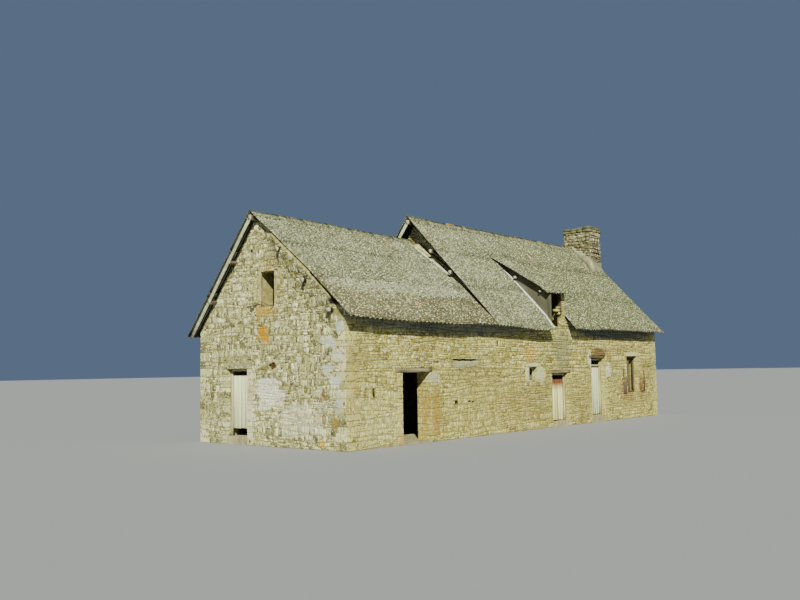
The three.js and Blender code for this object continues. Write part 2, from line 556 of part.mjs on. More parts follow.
// The origin is at the middle of the whole house's plan, on the lowest ground
const house = new THREE.Group();
const middleX = (LENGTH + VERGE_RIGHT - VERGE_LEFT) / 2;
const middleY = (DEPTH + EAVE_BACK - EAVE_FRONT) / 2;
root.position.set(-middleX, -middleY, 0);
house.add(root);

export default house;
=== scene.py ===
"""Stone farmhouse with corrugated sheet roofs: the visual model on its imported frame.

Everything is built in metres from the near corner of the front wall: X along the front wall, Y from
front to back, Z up. The piece maker moves it to where the frame has that corner.
"""
import itertools
import math
import random

import bpy
from mathutils import Matrix, Vector


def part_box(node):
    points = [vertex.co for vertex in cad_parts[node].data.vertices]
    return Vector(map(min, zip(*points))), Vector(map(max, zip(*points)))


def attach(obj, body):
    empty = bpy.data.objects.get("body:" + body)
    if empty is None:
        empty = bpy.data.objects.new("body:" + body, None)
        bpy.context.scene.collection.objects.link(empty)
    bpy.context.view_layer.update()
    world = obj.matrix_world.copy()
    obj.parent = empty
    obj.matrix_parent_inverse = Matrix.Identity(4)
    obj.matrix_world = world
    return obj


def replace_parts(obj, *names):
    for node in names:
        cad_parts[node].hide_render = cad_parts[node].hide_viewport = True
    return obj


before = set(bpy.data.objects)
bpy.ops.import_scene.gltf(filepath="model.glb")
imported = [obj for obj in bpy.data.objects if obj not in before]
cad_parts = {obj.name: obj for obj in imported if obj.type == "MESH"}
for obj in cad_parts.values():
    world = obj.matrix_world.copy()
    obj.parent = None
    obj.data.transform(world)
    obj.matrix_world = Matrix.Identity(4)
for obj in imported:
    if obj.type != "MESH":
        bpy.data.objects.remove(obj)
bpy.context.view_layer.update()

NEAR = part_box("left_gable_wall_front_side")[0]


def span(node):
    """Lowest and highest corner of a CAD node, from the near corner of the front wall."""
    low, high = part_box(node)
    return low - NEAR, high - NEAR


# Main sizes, read from the frame
LENGTH = span("right_gable_wall")[1].x
DEPTH = span("right_gable_wall")[1].y
CROSS = span("cross_gable_wall")[0].x
WALL = span("cross_gable_wall")[1].x - CROSS
VERGE_LEFT = span("byre_roof_front_lower")[0].x
VERGE_CROSS = span("house_roof_back")[0].x
VERGE_RIGHT = span("house_roof_back")[1].x
STACK_LOW, STACK_HIGH = span("chimney_stack")
CAP_LOW, CAP_HIGH = span("chimney_cap")
DORMER_LOW, DORMER_HIGH = span("dormer_roof")
PIER_LOW, PIER_HIGH = span("dormer_pier")

# Roof lines as (y, z) points on top of the sheets, from the front eave to the back one
FRONT_EAVE = (-0.39, 3.39)
BACK_EAVE = (DEPTH + 0.265, 3.10)
BYRE_KINK = (0.95, 4.585)
BYRE_RIDGE = (3.453, 6.55)
HOUSE_RIDGE = (3.194, 7.18)
BYRE_LINE = [FRONT_EAVE, BYRE_KINK, BYRE_RIDGE, BACK_EAVE]
HOUSE_LINE = [FRONT_EAVE, HOUSE_RIDGE, BACK_EAVE]
SLAB = 0.06
DORMER_EAVE = 4.61

# How far the byre's ridge has sunk at the cross gable, and where that ends on the back slope
RIDGE_DROOP = 0.117
SAG_BACK = 5.55

# How far up the rubble goes on each wall
BYRE_WALL_TOP = 3.62
HOUSE_WALL_TOP = 3.66
BACK_WALL_TOP = 3.30
GABLE_TOP = 6.5


def unit(value):
    """The value, kept between 0 and 1."""
    return max(0.0, min(1.0, value))


def height_at(line, y):
    """Height of a line of (y, z) points at y."""
    for (y0, z0), (y1, z1) in zip(line, line[1:]):
        if y <= y1 or (y1, z1) == line[-1]:
            return z0 + (z1 - z0) * (y - y0) / (y1 - y0)


DORMER_LINE = [(DORMER_LOW.y, DORMER_EAVE), (DORMER_HIGH.y, height_at(HOUSE_LINE, DORMER_HIGH.y))]


def opening_of(node, foot, head):
    """An opening as wide along X as the node that fills it."""
    low, high = span(node)
    return (low.x, high.x, foot, head)


# Openings as (low along the wall, high along the wall, low z, high z)
BYRE_DOOR = (span("front_wall_left_end")[1].x, span("front_wall_middle")[0].x, 0.0, 1.95)
SMALL_WINDOW = (8.60, 9.15, 1.57, 2.06)
STABLE_DOOR = opening_of("stable_door_frame", 0.0, 1.82)
HOUSE_DOOR = opening_of("house_door_frame", 0.0, 2.33)
TALL_WINDOW = opening_of("tall_window_frame", 1.0, 2.42)
GABLE_DOOR = (span("gable_door_frame")[0].y, span("gable_door_frame")[1].y, 0.0, 2.13)
LOFT_HATCH = (2.72, 3.35, 3.84, 4.83)
BACK_WINDOW = (13.0, 13.55, 1.57, 2.06)
DORMER_GAP = (9.78, 11.06, 3.45, 9.0)


# Materials

def colour(code):
    """Linear RGBA of an sRGB code such as #a0b1c2."""
    parts = [int(code[i:i + 2], 16) / 255 for i in (1, 3, 5)]
    return [c / 12.92 if c <= 0.04045 else ((c + 0.055) / 1.055) ** 2.4 for c in parts] + [1.0]


class Shade:
    """A node material, built with short calls."""

    def __init__(self, name, roughness=0.9, metallic=0.0):
        self.material = bpy.data.materials.new(name)
        self.material.use_nodes = True
        self.tree = self.material.node_tree
        self.shader = self.tree.nodes["Principled BSDF"]
        self.shader.inputs["Roughness"].default_value = roughness
        self.shader.inputs["Metallic"].default_value = metallic
        self.shader.inputs["Specular IOR Level"].default_value = 0.25
        self.place = self.node("ShaderNodeTexCoord").outputs["Object"]
        self.heights = []

    def node(self, kind, **settings):
        made = self.tree.nodes.new(kind)
        for key, value in settings.items():
            setattr(made, key, value)
        return made

    def set(self, socket, value):
        if isinstance(value, bpy.types.NodeSocket):
            self.tree.links.new(value, socket)
        else:
            socket.default_value = value

    def math(self, operation, a, b):
        made = self.node("ShaderNodeMath", operation=operation)
        self.set(made.inputs[0], a)
        self.set(made.inputs[1], b)
        return made.outputs[0]

    def vector(self, operation, a, b=(0, 0, 0)):
        made = self.node("ShaderNodeVectorMath", operation=operation)
        self.set(made.inputs[0], a)
        self.set(made.inputs[1], b)
        return made.outputs

    def stretched(self, stretch):
        made = self.node("ShaderNodeMapping")
        self.set(made.inputs["Vector"], self.place)
        self.set(made.inputs["Scale"], stretch)
        return made.outputs[0]

    def noise(self, scale, detail, stretch=None):
        made = self.node("ShaderNodeTexNoise")
        self.set(made.inputs["Vector"], self.stretched(stretch) if stretch else self.place)
        self.set(made.inputs["Scale"], scale)
        self.set(made.inputs["Detail"], detail)
        self.set(made.inputs["Roughness"], 0.55)
        return made.outputs["Fac"]

    def attribute(self, name):
        return self.node("ShaderNodeAttribute", attribute_name=name).outputs["Fac"]

    def ramp(self, factor, stops):
        """Colour from a factor: stops are (place, code) pairs."""
        made = self.node("ShaderNodeValToRGB")
        elements = made.color_ramp.elements
        while len(elements) < len(stops):
            elements.new(0.5)
        for element, (at, code) in zip(elements, stops):
            element.position = at
            element.color = colour(code)
        self.set(made.inputs["Fac"], factor)
        return made.outputs["Color"]

    def fade(self, factor, low, high):
        """0 where the factor is under low, 1 where it is over high."""
        made = self.node("ShaderNodeMapRange", clamp=True)
        self.set(made.inputs["Value"], factor)
        self.set(made.inputs["From Min"], low)
        self.set(made.inputs["From Max"], high)
        return made.outputs[0]

    def mix(self, factor, a, b, blend="MIX"):
        made = self.node("ShaderNodeMix", data_type="RGBA", blend_type=blend)
        self.set(made.inputs["Factor"], factor)
        self.set(made.inputs["A"], a)
        self.set(made.inputs["B"], colour(b) if isinstance(b, str) else b)
        return made.outputs["Result"]

    def over(self, base, mask, strength, code, blend="MIX"):
        """The base with a colour laid over it where the mask is."""
        return self.mix(self.math("MULTIPLY", mask, strength), base, code, blend)

    def spots(self, base, noise, low, high, strength, code, blend="MIX"):
        """The base with a colour laid over it where a noise, given as (scale, detail, stretch), is high."""
        return self.over(base, self.fade(self.noise(*noise), low, high), strength, code, blend)

    def patch(self, centre, radii, ragged, scale=6.0):
        """A ragged stain: 1 near its centre, 0 outside its radii. The place is from the near corner."""
        moved = self.vector("SUBTRACT", self.place, Vector(centre) + NEAR)[0]
        length = self.vector("LENGTH", self.vector("DIVIDE", moved, radii)[0])["Value"]
        edge = self.math("MULTIPLY", self.math("SUBTRACT", self.noise(scale, 4.0), 0.5), 4.0 * ragged)
        return self.fade(self.math("ADD", length, edge), 1.05, 0.75)

    def rough(self, scale, depth, detail=4.0, stretch=None):
        """Adds noise of that depth in metres to the bump."""
        self.heights.append(self.math("MULTIPLY", self.noise(scale, detail, stretch), depth))

    def finish(self, base):
        """Sets the base colour, joins the bumps and returns the material."""
        self.set(self.shader.inputs["Base Color"], base)
        if self.heights:
            total = self.heights[0]
            for height in self.heights[1:]:
                total = self.math("ADD", total, height)
            bump = self.node("ShaderNodeBump")
            self.set(bump.inputs["Distance"], 1.0)
            self.set(bump.inputs["Strength"], 1.0)
            self.set(bump.inputs["Height"], total)
            self.set(self.shader.inputs["Normal"], bump.outputs["Normal"])
        return self.material


def layered(name, roughness, noise, stops, spots=(), bumps=(), metallic=0.0):
    """A material coloured by a noise, or by each stone's own tint without one, with spots and bumps."""
    shade = Shade(name, roughness, metallic)
    base = shade.ramp(shade.noise(*noise) if noise else shade.attribute("tint"), stops)
    for layer in spots:
        base = shade.spots(base, *layer)
    for bump in bumps:
        shade.rough(*bump)
    return shade.finish(base)


def rubble_finish(name, stones, mortar, patches, dark, flecked=0.65):
    """Two materials with the same stains and painted shade: loose stones, coloured by their tint, and mortar.
    """
    made = []
    for kind in ("stones", "mortar"):
        shade = Shade(f"{name}_{kind}")
        if kind == "stones":
            base = shade.ramp(shade.attribute("tint"), stones)
            base = shade.mix(0.2, base, shade.ramp(shade.noise(5.0, 6.0), mortar))
            base = shade.spots(base, (19.0, 4.0), 0.54, 0.62, 0.6, "#f1edd4")
            base = shade.spots(base, (15.0, 4.0), 0.54, 0.62, flecked, "#4d452c")
            shade.rough(55.0, 0.010, 5.0)
            shade.rough(14.0, 0.020, 3.0)
        else:
            base = shade.ramp(shade.noise(9.0, 5.0), mortar)
            shade.rough(45.0, 0.012, 5.0)
        base = shade.spots(base, (0.75, 4.0), 0.42, 0.70, dark, "#8d8563", "MULTIPLY")
        for centre, radii, code, strength, ragged in patches:
            base = shade.over(base, shade.patch(centre, radii, ragged), strength, code)
        made.append(shade.finish(base))
    return made


def gable_stain_or_shade(y, z, wide, high, code, strength, ragged, x=0.0, deep=0.3):
    """A stain or a patch of painted shade on the left gable: its centre and radii, colour, strength and
    raggedness.
    """
    return (x, y, z), (deep, wide, high), code, strength, ragged


def front_stain_or_shade(x, z, wide, high, code, strength, ragged, y=0.0, deep=0.4):
    """A stain or a patch of painted shade on the front wall, as gable_stain_or_shade gives it."""
    return (x, y, z), (wide, deep, high), code, strength, ragged


BLUISH = "#c6cec2"
# Near black painted shade for the slit, the holes and the crack where stones are left out.
PAINTED_SHADE_IN_HOLES = "#1d1a12"
GABLE_STAINS_AND_PAINTED_SHADE = [gable_stain_or_shade(*row) for row in (
    (3.00, 4.40, 0.75, 0.9, "#b39f62", 0.35, 0.5, 0.0, 0.4),
    (3.95, 1.1, 0.42, 1.1, "#d9d8c0", 0.35, 0.6, 0.0, 0.4),
    (2.95, 1.45, 0.62, 0.48, "#eceada", 0.6, 0.6),
    (1.7, 0.75, 1.1, 0.5, "#e4e0c4", 0.35, 0.7),
    (3.19, 3.13, 0.24, 0.30, "#b4830f", 1.0, 1.1),
    (3.11, 3.68, 0.30, 0.22, "#ad8f32", 0.75, 1.1),
    (0.18, 3.17, 0.2, 0.16, BLUISH, 0.6, 0.4),
    (0.55, 2.78, 0.3, 0.15, BLUISH, 0.65, 0.6),
    (0.34, 2.46, 0.2, 0.12, BLUISH, 0.6, 0.5),
    (0.60, 2.12, 0.3, 0.13, BLUISH, 0.6, 0.5),
    (0.37, 1.76, 0.27, 0.16, BLUISH, 0.65, 0.5),
    (0.28, 1.2, 0.13, 0.3, "#a9b0a0", 0.6, 0.4),
    (0.79, 1.4, 0.11, 0.17, "#7c5f33", 0.7, 0.6),
    (0.80, 0.78, 0.08, 0.13, "#7c5f33", 0.7, 0.6),
    (0.42, 0.71, 0.18, 0.16, "#8d7439", 0.85, 0.15),
    (0.83, 0.17, 0.09, 0.13, "#c9a02c", 0.8, 0.5),
    (3.18, 2.10, 0.19, 0.09, "#6e5f2e", 0.75, 0.6),
    # Painted shade inside two holes in the gable.
    (2.80, 2.20, 0.15, 0.11, "#4a3416", 0.95, 0.4, 0.05),
    (3.7, 1.5, 0.12, 0.22, "#c9a06a", 0.4, 0.6),
    # Painted shade inside a small hole high on the gable.
    (3.68, 5.47, 0.06, 0.06, "#2a2316", 1.0, 0.2, 0.05),
    # Painted shade: a near black wedge under the eave at the near corner, below the overhanging sheets.
    (0.22, 3.84, 0.34, 0.13, "#221e14", 1.0, 0.1),
)]
FRONT_STAINS_AND_PAINTED_SHADE = [front_stain_or_shade(*row) for row in (
    (8.7, 2.47, 0.34, 0.24, "#c08f3c", 0.6, 1.3),
    (10.8, 2.6, 0.7, 0.75, "#86835f", 0.7, 0.45),
    # Painted shade: blue-grey bands along the top of the front wall, under the eaves.
    (4.9, 3.44, 5.7, 0.4, "#58666f", 0.62, 0.15),
    (14.9, 3.44, 3.9, 0.42, "#4b575f", 0.75, 0.15),
    (15.3, 1.5, 3.6, 1.7, "#8d8048", 0.22, 0.6),
    # Painted shade on the left side of the dormer's broken pier.
    (10.78, 4.2, 0.09, 0.5, "#37342a", 0.85, 0.1, 0.05, 0.2),
    (10.0, 0.9, 3.4, 0.9, "#8b7d47", 0.4, 0.6),
    (6.0, 0.9, 2.6, 0.9, "#9a8d52", 0.3, 0.7),
    (0.2, 1.9, 0.3, 1.2, "#b09a55", 0.35, 0.7),
    (1.6, 0.7, 1.5, 0.8, "#cdc694", 0.25, 0.6),
    (9.36, 1.83, 0.24, 0.27, "#bdc4a4", 0.6, 0.9),
    (8.48, 1.85, 0.14, 0.28, "#c4c9ac", 0.5, 0.4),
    (8.9, 2.13, 0.42, 0.07, "#c9ceb2", 0.6, 0.4),
    (16.2, 2.5, 0.65, 0.1, "#c4c9ae", 0.5, 0.5),
    (3.64, 0.85, 0.27, 0.85, "#9a7a30", 0.7, 0.45, 0.2, 0.6),
    (3.62, 1.78, 0.24, 0.2, "#aeae9a", 0.65, 0.4, 0.0, 0.3),
    (2.12, 0.15, 0.12, 0.2, "#c08a55", 0.5, 0.5),
    (5.1, 2.18, 0.8, 0.09, "#a3a28c", 0.75, 0.4),
    (3.70, 2.235, 0.18, 0.035, "#4d4228", 0.8, 0.4),
    (3.98, 2.31, 0.17, 0.03, "#5f5232", 0.7, 0.5),
    (15.45, 1.25, 0.26, 0.5, "#7d5a30", 0.7, 0.6),
    (15.9, 0.8, 0.6, 0.22, "#8a6a3c", 0.5, 0.7),
    (17.0, 1.2, 0.28, 0.5, "#7d5a30", 0.65, 0.6),
    (13.45, 2.52, 0.60, 0.24, "#715a36", 0.9, 0.25),
    (12.75, 2.3, 0.16, 0.3, "#dcd8c4", 0.6, 0.4),
    (14.15, 1.9, 0.26, 0.25, "#dad6c0", 0.55, 0.5),
    # Painted shade: near black in the slit, the small holes and the long crack, where no stones are laid.
    (1.04, 1.41, 0.07, 0.18, PAINTED_SHADE_IN_HOLES, 1.0, 0.05, 0.1, 0.2),
    (4.62, 1.045, 0.1, 0.08, PAINTED_SHADE_IN_HOLES, 1.0, 0.05, 0.1, 0.2),
    (3.99, 1.05, 0.045, 0.045, PAINTED_SHADE_IN_HOLES, 0.8, 0.1, 0.05, 0.1),
    (5.265, 1.06, 0.08, 0.03, PAINTED_SHADE_IN_HOLES, 0.9, 0.1, 0.04, 0.08),
    (5.435, 1.04, 0.08, 0.025, PAINTED_SHADE_IN_HOLES, 0.9, 0.1, 0.04, 0.08),
    (5.07, 2.295, 0.8, 0.04, PAINTED_SHADE_IN_HOLES, 1.0, 0.05, 0.05, 0.08),
)]

# Colours of the stones and of the mortar between them, as (place on the ramp, colour)
GABLE_STONES = [
    (0.0, "#433f23"), (0.12, "#747043"), (0.25, "#c9c78a"), (0.38, "#858149"), (0.5, "#ecebb0"),
    (0.62, "#686437"), (0.75, "#fbfad0"), (0.88, "#969259"), (1.0, "#f2f1bc"),
]
FRONT_STONES = [
    (0.0, "#73672e"), (0.08, "#9a8f3e"), (0.3, "#c3b662"), (0.5, "#d3cb75"), (0.68, "#aea352"),
    (0.85, "#e0da8c"), (1.0, "#9b8e3d"),
]
# Painted shade: blue-grey stones for the cross gable's face over the byre, which lies in the shade of the
# house's verge.
CROSSING_STONES_PAINTED_SHADE = [(0.0, "#6a6d66"), (0.4, "#90938a"), (0.7, "#a3a598"), (1.0, "#7d8079")]
BACK_STONES = [
    (0.0, "#6f6744"), (0.2, "#969063"), (0.45, "#b3ac7e"), (0.7, "#c5c092"), (0.85, "#8d886a"),
    (1.0, "#d2cea8"),
]
CHIMNEY_STONES = [
    (0.0, "#4f4931"), (0.2, "#6d6644"), (0.45, "#8c8964"), (0.7, "#777556"), (0.85, "#9e9a76"),
    (1.0, "#807142"),
]
GABLE_MORTAR = [(0.3, "#676138"), (0.5, "#918a59"), (0.75, "#beb783")]
FRONT_MORTAR = [(0.3, "#62592f"), (0.5, "#8f874c"), (0.75, "#b5ae6e")]
BACK_MORTAR = [(0.3, "#6d6646"), (0.5, "#949064"), (0.75, "#b0ac80")]
CHIMNEY_MORTAR = [(0.3, "#47402c"), (0.5, "#6e6748"), (0.75, "#8d8764")]

gable_stone, gable_mortar = rubble_finish("gable", GABLE_STONES, GABLE_MORTAR, GABLE_STAINS_AND_PAINTED_SHADE, 0.3, 0.85)
front_stone, front_mortar = rubble_finish("front", FRONT_STONES, FRONT_MORTAR, FRONT_STAINS_AND_PAINTED_SHADE, 0.35)
crossing_stone_painted_shade = rubble_finish("crossing", CROSSING_STONES_PAINTED_SHADE, GABLE_MORTAR, (), 0.4)[0]
back_stone, back_mortar = rubble_finish("back", BACK_STONES, BACK_MORTAR, (), 0.5)
chimney_stone, chimney_mortar = rubble_finish("chimney", CHIMNEY_STONES, CHIMNEY_MORTAR, (), 0.4)

ALONG_X = (0.25, 4.0, 4.0)
ALONG_Y = (4.0, 0.25, 4.0)
ALONG_Z = (4.0, 4.0, 0.25)
OLD_WOOD = [(0.3, "#3a3122"), (0.5, "#5e533b"), (0.7, "#847a5e")]
PALE_WOOD = [(0.3, "#8f907a"), (0.5, "#b1b299"), (0.7, "#cbccb6")]
WORN_WOOD = [(0.3, "#5d573f"), (0.5, "#867e60"), (0.7, "#a69e7d")]
WORN_OAK = [(0.3, "#8c866a"), (0.5, "#ada88a"), (0.7, "#c6c1a6")]
# Near black wood: painted shade for the sides of the purlin ends and the plate's end that stick out of the left
# gable.
PAINTED_SHADE_WOOD = [(0.3, "#17140f"), (0.6, "#2b261c"), (0.8, "#3b3527")]


def timber_finish(name, stops, grain, streaks=0.5):
    """Weathered wood with its grain along the axis whose scale is low."""
    return layered(name, 0.85, (4.0, 6.0, grain), stops,
                   [((16.0, 4.0, grain), 0.45, 0.62, streaks, "#4a3d2c", "MULTIPLY")],
                   [(10.0, 0.006, 5.0, grain)])


timber_x = timber_finish("old_timber_along_x", OLD_WOOD, ALONG_X)
timber_y = timber_finish("old_timber_along_y", OLD_WOOD, ALONG_Y)
timber_z = timber_finish("old_timber_along_z", OLD_WOOD, ALONG_Z)
pale_timber = timber_finish("pale_timber", PALE_WOOD, ALONG_Y, 0.3)
worn_lintel = timber_finish("worn_lintel", WORN_WOOD, ALONG_X, 0.4)
worn_post = timber_finish("worn_post", WORN_OAK, ALONG_Z, 0.3)
painted_shade_timber = timber_finish("painted_shade_timber", PAINTED_SHADE_WOOD, ALONG_X, 0.3)


def floor_finish():
    """Beaten earth and worn stone inside the house."""
    return layered("earth_floor", 0.95, (3.0, 6.0), [(0.3, "#777053"), (0.55, "#9f9674"), (0.75, "#b8b08c")],
                   bumps=[(25.0, 0.01)])


# Making pieces

class Heap:
    """Points and faces of many small closed bodies that make one piece."""

    def __init__(self):
        self.points = []
        self.faces = []
        self.tints = []
        self.finishes = []

    def add(self, points, faces, tint=0.5, finish=0):
        """Adds a body. The finish is one number for all its faces, or a list with one for each."""
        start = len(self.points)
        self.points.extend(points)
        self.faces.extend([tuple(start + i for i in face) for face in faces])
        self.tints.extend([tint] * len(points))
        self.finishes.extend(finish if isinstance(finish, list) else [finish] * len(faces))

    def piece(self, name, finishes, slot, body="house", smooth=True):
        """Makes the piece, in the frame's place, on its body."""
        mesh = bpy.data.meshes.new(name)
        places = [(x + NEAR.x, y + NEAR.y, max(z, 0.0) + NEAR.z) for x, y, z in self.points]
        mesh.from_pydata(places, [], self.faces)
        mesh.polygons.foreach_set("material_index", self.finishes)
        mesh.polygons.foreach_set("use_smooth", [smooth] * len(self.faces))
        mesh.attributes.new("tint", "FLOAT", "POINT").data.foreach_set("value", self.tints)
        for finish in finishes:
            mesh.materials.append(finish)
        mesh.update()
        made = bpy.data.objects.new(name, mesh)
        bpy.context.scene.collection.objects.link(made)
        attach(made, body)
        return made


def dress(finish, *nodes):
    """Gives carried-over CAD nodes their material."""
    for name in nodes:
        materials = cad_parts[name].data.materials
        materials.clear()
        materials.append(finish)


def band(a, b, count):
    """Faces between two rings of points that start at a and at b."""
    return [(a + i, a + (i + 1) % count, b + (i + 1) % count, b + i) for i in range(count)]


def closed_strip(heap, top, bottom, across, up, flip=False, tint=0.5, finish=0, under=0):
    """A closed sheet from two grids of points, row by row."""
    start = across + 1
    size = start * (up + 1)
    faces, kinds = [], []
    for j in range(up):
        for i in range(across):
            a = j * start + i
            faces.append((a, a + 1, a + 1 + start, a + start))
            faces.append((size + a, size + a + start, size + a + 1 + start, size + a + 1))
            kinds += [finish, under]
    for i in range(across):
        a, b = i, up * start + i
        faces.append((size + a, size + a + 1, a + 1, a))
        faces.append((b, b + 1, size + b + 1, size + b))
    for j in range(up):
        a, b = j * start, j * start + across
        faces.append((a, a + start, size + a + start, size + a))
        faces.append((size + b, size + b + start, b + start, b))
    kinds += [finish] * (len(faces) - len(kinds))
    if flip:
        faces = [tuple(reversed(face)) for face in faces]
    heap.add(top + bottom, faces, tint, kinds)


def ribbon(heap, inner, outer, thick, finish=0):
    """A closed strip between two rows of points, thickened downwards."""
    top = outer + inner
    bottom = [(x, y, z - thick) for x, y, z in top]
    a, b, c = Vector(outer[0]), Vector(outer[1]), Vector(inner[0])
    closed_strip(heap, top, bottom, len(inner) - 1, 1, (b - a).cross(c - a).z < 0, 0.5, finish, finish)


# Masonry

class Face:
    """A flat wall face: u runs along it, v is height, and w stands out of it."""

    def __init__(self, corner, along, out):
        self.corner = Vector(corner)
        self.along = Vector(along)
        self.out = Vector(out)
        self.mirrored = self.along.cross(Vector((0, 0, 1))).dot(self.out) < 0

    def point(self, u, v, w):
        return self.corner + self.along * u + self.out * w + Vector((0, 0, v))

    def add(self, heap, places, faces, tint=0.5, finish=0):
        """Adds a body given by (u, v, w) points, with its faces turned outwards."""
        if self.mirrored:
            faces = [tuple(reversed(face)) for face in faces]
        heap.add([self.point(*place) for place in places], faces, tint, finish)


FRONT = Face((0, 0, 0), (1, 0, 0), (0, -1, 0))
BACK = Face((0, DEPTH, 0), (1, 0, 0), (0, 1, 0))
GABLE = Face((0, 0, 0), (0, 1, 0), (-1, 0, 0))
RIGHT = Face((LENGTH, 0, 0), (0, 1, 0), (1, 0, 0))
CROSSING = Face((CROSS, 0, 0), (0, 1, 0), (-1, 0, 0))


def clipped(outline, a, b, c):
    """The part of an outline of (u, v) points where a u + b v <= c."""
    result = []
    for (u0, v0), (u1, v1) in zip(outline, outline[1:] + outline[:1]):
        d0 = a * u0 + b * v0 - c
        d1 = a * u1 + b * v1 - c
        if d0 <= 0:
            result.append((u0, v0))
        if d0 * d1 < 0:
            t = d0 / (d0 - d1)
            result.append((u0 + (u1 - u0) * t, v0 + (v1 - v0) * t))
    return result


def area(outline):
    """Area of an outline of (u, v) points."""
    pairs = zip(outline, outline[1:] + outline[:1])
    return abs(sum(u0 * v1 - u1 * v0 for (u0, v0), (u1, v1) in pairs)) / 2


def extent(outline):
    """Lowest and highest u, then lowest and highest v, of an outline."""
    across, up = zip(*outline)
    return min(across), max(across), min(up), max(up)


def beside(outline, hole):
    """The largest part of an outline beside, under or over a hole of (u0, u1, v0, v1)."""
    u0, u1, v0, v1 = hole
    left, right, foot, head = extent(outline)
    if right <= u0 or left >= u1 or head <= v0 or foot >= v1:
        return outline
    sides = ((1, 0, u0), (-1, 0, -u1), (0, 1, v0), (0, -1, -v1))
    return max([clipped(outline, *side) for side in sides], key=area)


def rubble_outlines(rng, width, height, row, length, split, wander):
    """Outlines of rough courses: runs of full-height stones between runs of two thin ones."""
    beds = []
    v = -row * rng.random() * 0.5
    while v < height + row:
        waves = [(wander / k, rng.uniform(0.5, 1.3) * k, rng.uniform(0, math.tau)) for k in (1, 2, 3)]
        beds.append((v, waves))
        v += row * rng.uniform(0.75, 1.3)

    def bed(k, u):
        base, waves = beds[k]
        return base + sum(size * math.sin(rate * u + phase) for size, rate, phase in waves)

    for k in range(len(beds) - 1):
        u = -rng.uniform(0, length)
        while u < width:
            end = u + length * rng.uniform(1.5, 6)
            cut = rng.uniform(0.38, 0.62)
            layers = ((0.0, cut), (cut, 1.0)) if rng.random() < split else ((0.0, 1.0),)
            for low, high in layers:
                left, slant = u, 0.0
                while left < end - 1e-6:
                    usual = length * rng.choice((0.45, 0.7, 0.9, 1.1, 1.3, 1.7))
                    right = left + usual * rng.uniform(0.85, 1.15)
                    lean = rng.uniform(-0.018, 0.018)
                    if right > end - length * 0.35:
                        right, lean = end, 0.0
                    corners = []
                    for spot, share in ((left - slant, low), (right - lean, low),
                                        (right + lean, high), (left + slant, high)):
                        level = bed(k, spot) * (1 - share) + bed(k + 1, spot) * share
                        spot += rng.uniform(-0.008, 0.008)
                        corners.append((spot, level + rng.uniform(-0.009, 0.009)))
                    yield corners
                    left, slant = right, lean
            u = end


def rounded(outline, rng):
    """The outline with its corners cut off, as a worn stone has them."""
    result = []
    for i, (u, v) in enumerate(outline):
        for other in (outline[i - 1], outline[(i + 1) % len(outline)]):
            share = rng.uniform(0.12, 0.32)
            result.append((u + (other[0] - u) * share, v + (other[1] - v) * share))
    return result


# How deep the stones sit in the mortar, and the smallest half width and half height of a stone
SINK = -0.012
SMALLEST = (0.02, 0.014)


def stone(heap, face, outline, rng, proud, joint, tint):
    """One rubble stone, standing out of the mortar with a worn and slightly tilted front."""
    left, right, foot, head = extent(outline)
    half_u, half_v = (right - left) / 2, (head - foot) / 2
    if half_u < SMALLEST[0] or half_v < SMALLEST[1]:
        return
    centre_u = sum(u for u, v in outline) / len(outline)
    centre_v = sum(v for u, v in outline) / len(outline)
    shrink_u, shrink_v = 1 - joint / half_u / 2, 1 - joint / half_v / 2
    ring = [(u - centre_u, v - centre_v) for u, v in rounded(outline, rng)]
    lean_u, lean_v = rng.uniform(-0.3, 0.3) * proud, rng.uniform(-0.3, 0.3) * proud
    worn = min(0.012, half_v * 0.35)

    def front(u, v):
        return proud + lean_u * u / half_u + lean_v * v / half_v

    places = []
    for inset, share in ((0.0, None), (0.0, 0.55), (worn, 1.0)):
        scale_u, scale_v = shrink_u * (1 - inset / half_u), shrink_v * (1 - inset / half_v)
        for u, v in ring:
            w = SINK if share is None else front(u, v) * share
            places.append((centre_u + u * scale_u, centre_v + v * scale_v, w))
    places.append((centre_u, centre_v, front(0, 0) * 1.12))
    n = len(ring)
    faces = [tuple(reversed(range(n)))] + band(0, n, n) + band(n, 2 * n, n)
    faces += [(2 * n + i, 2 * n + (i + 1) % n, 3 * n) for i in range(n)]
    face.add(heap, places, faces, tint)


def lay_rubble(heap, face, zone, rng, row, length, split, proud, joint, lines=(), holes=(),
               missing=0.0, wander=0.03):
    """Covers a zone (u0, u1, v0, v1) of a wall face with stones. Lines are limits and holes are openings."""
    u0, u1, v0, v1 = zone
    edges = ((-1, 0, -u0), (1, 0, u1), (0, -1, -v0), (0, 1, v1))
    for outline in rubble_outlines(rng, u1 - u0, v1 - v0, row, length, split, wander):
        outline = [(u + u0, v + v0) for u, v in outline]
        whole = area(outline)
        for limit in edges + tuple(lines):
            outline = clipped(outline, *limit)
            if len(outline) < 3:
                break
        for hole in holes:
            if len(outline) >= 3:
                outline = beside(outline, hole)
        if len(outline) < 3 or area(outline) < whole * 0.15 or rng.random() < missing:
            continue
        stone(heap, face, outline, rng, rng.uniform(*proud), joint, rng.random())


BOX_CORNERS = list(itertools.product((0, 1), repeat=3))


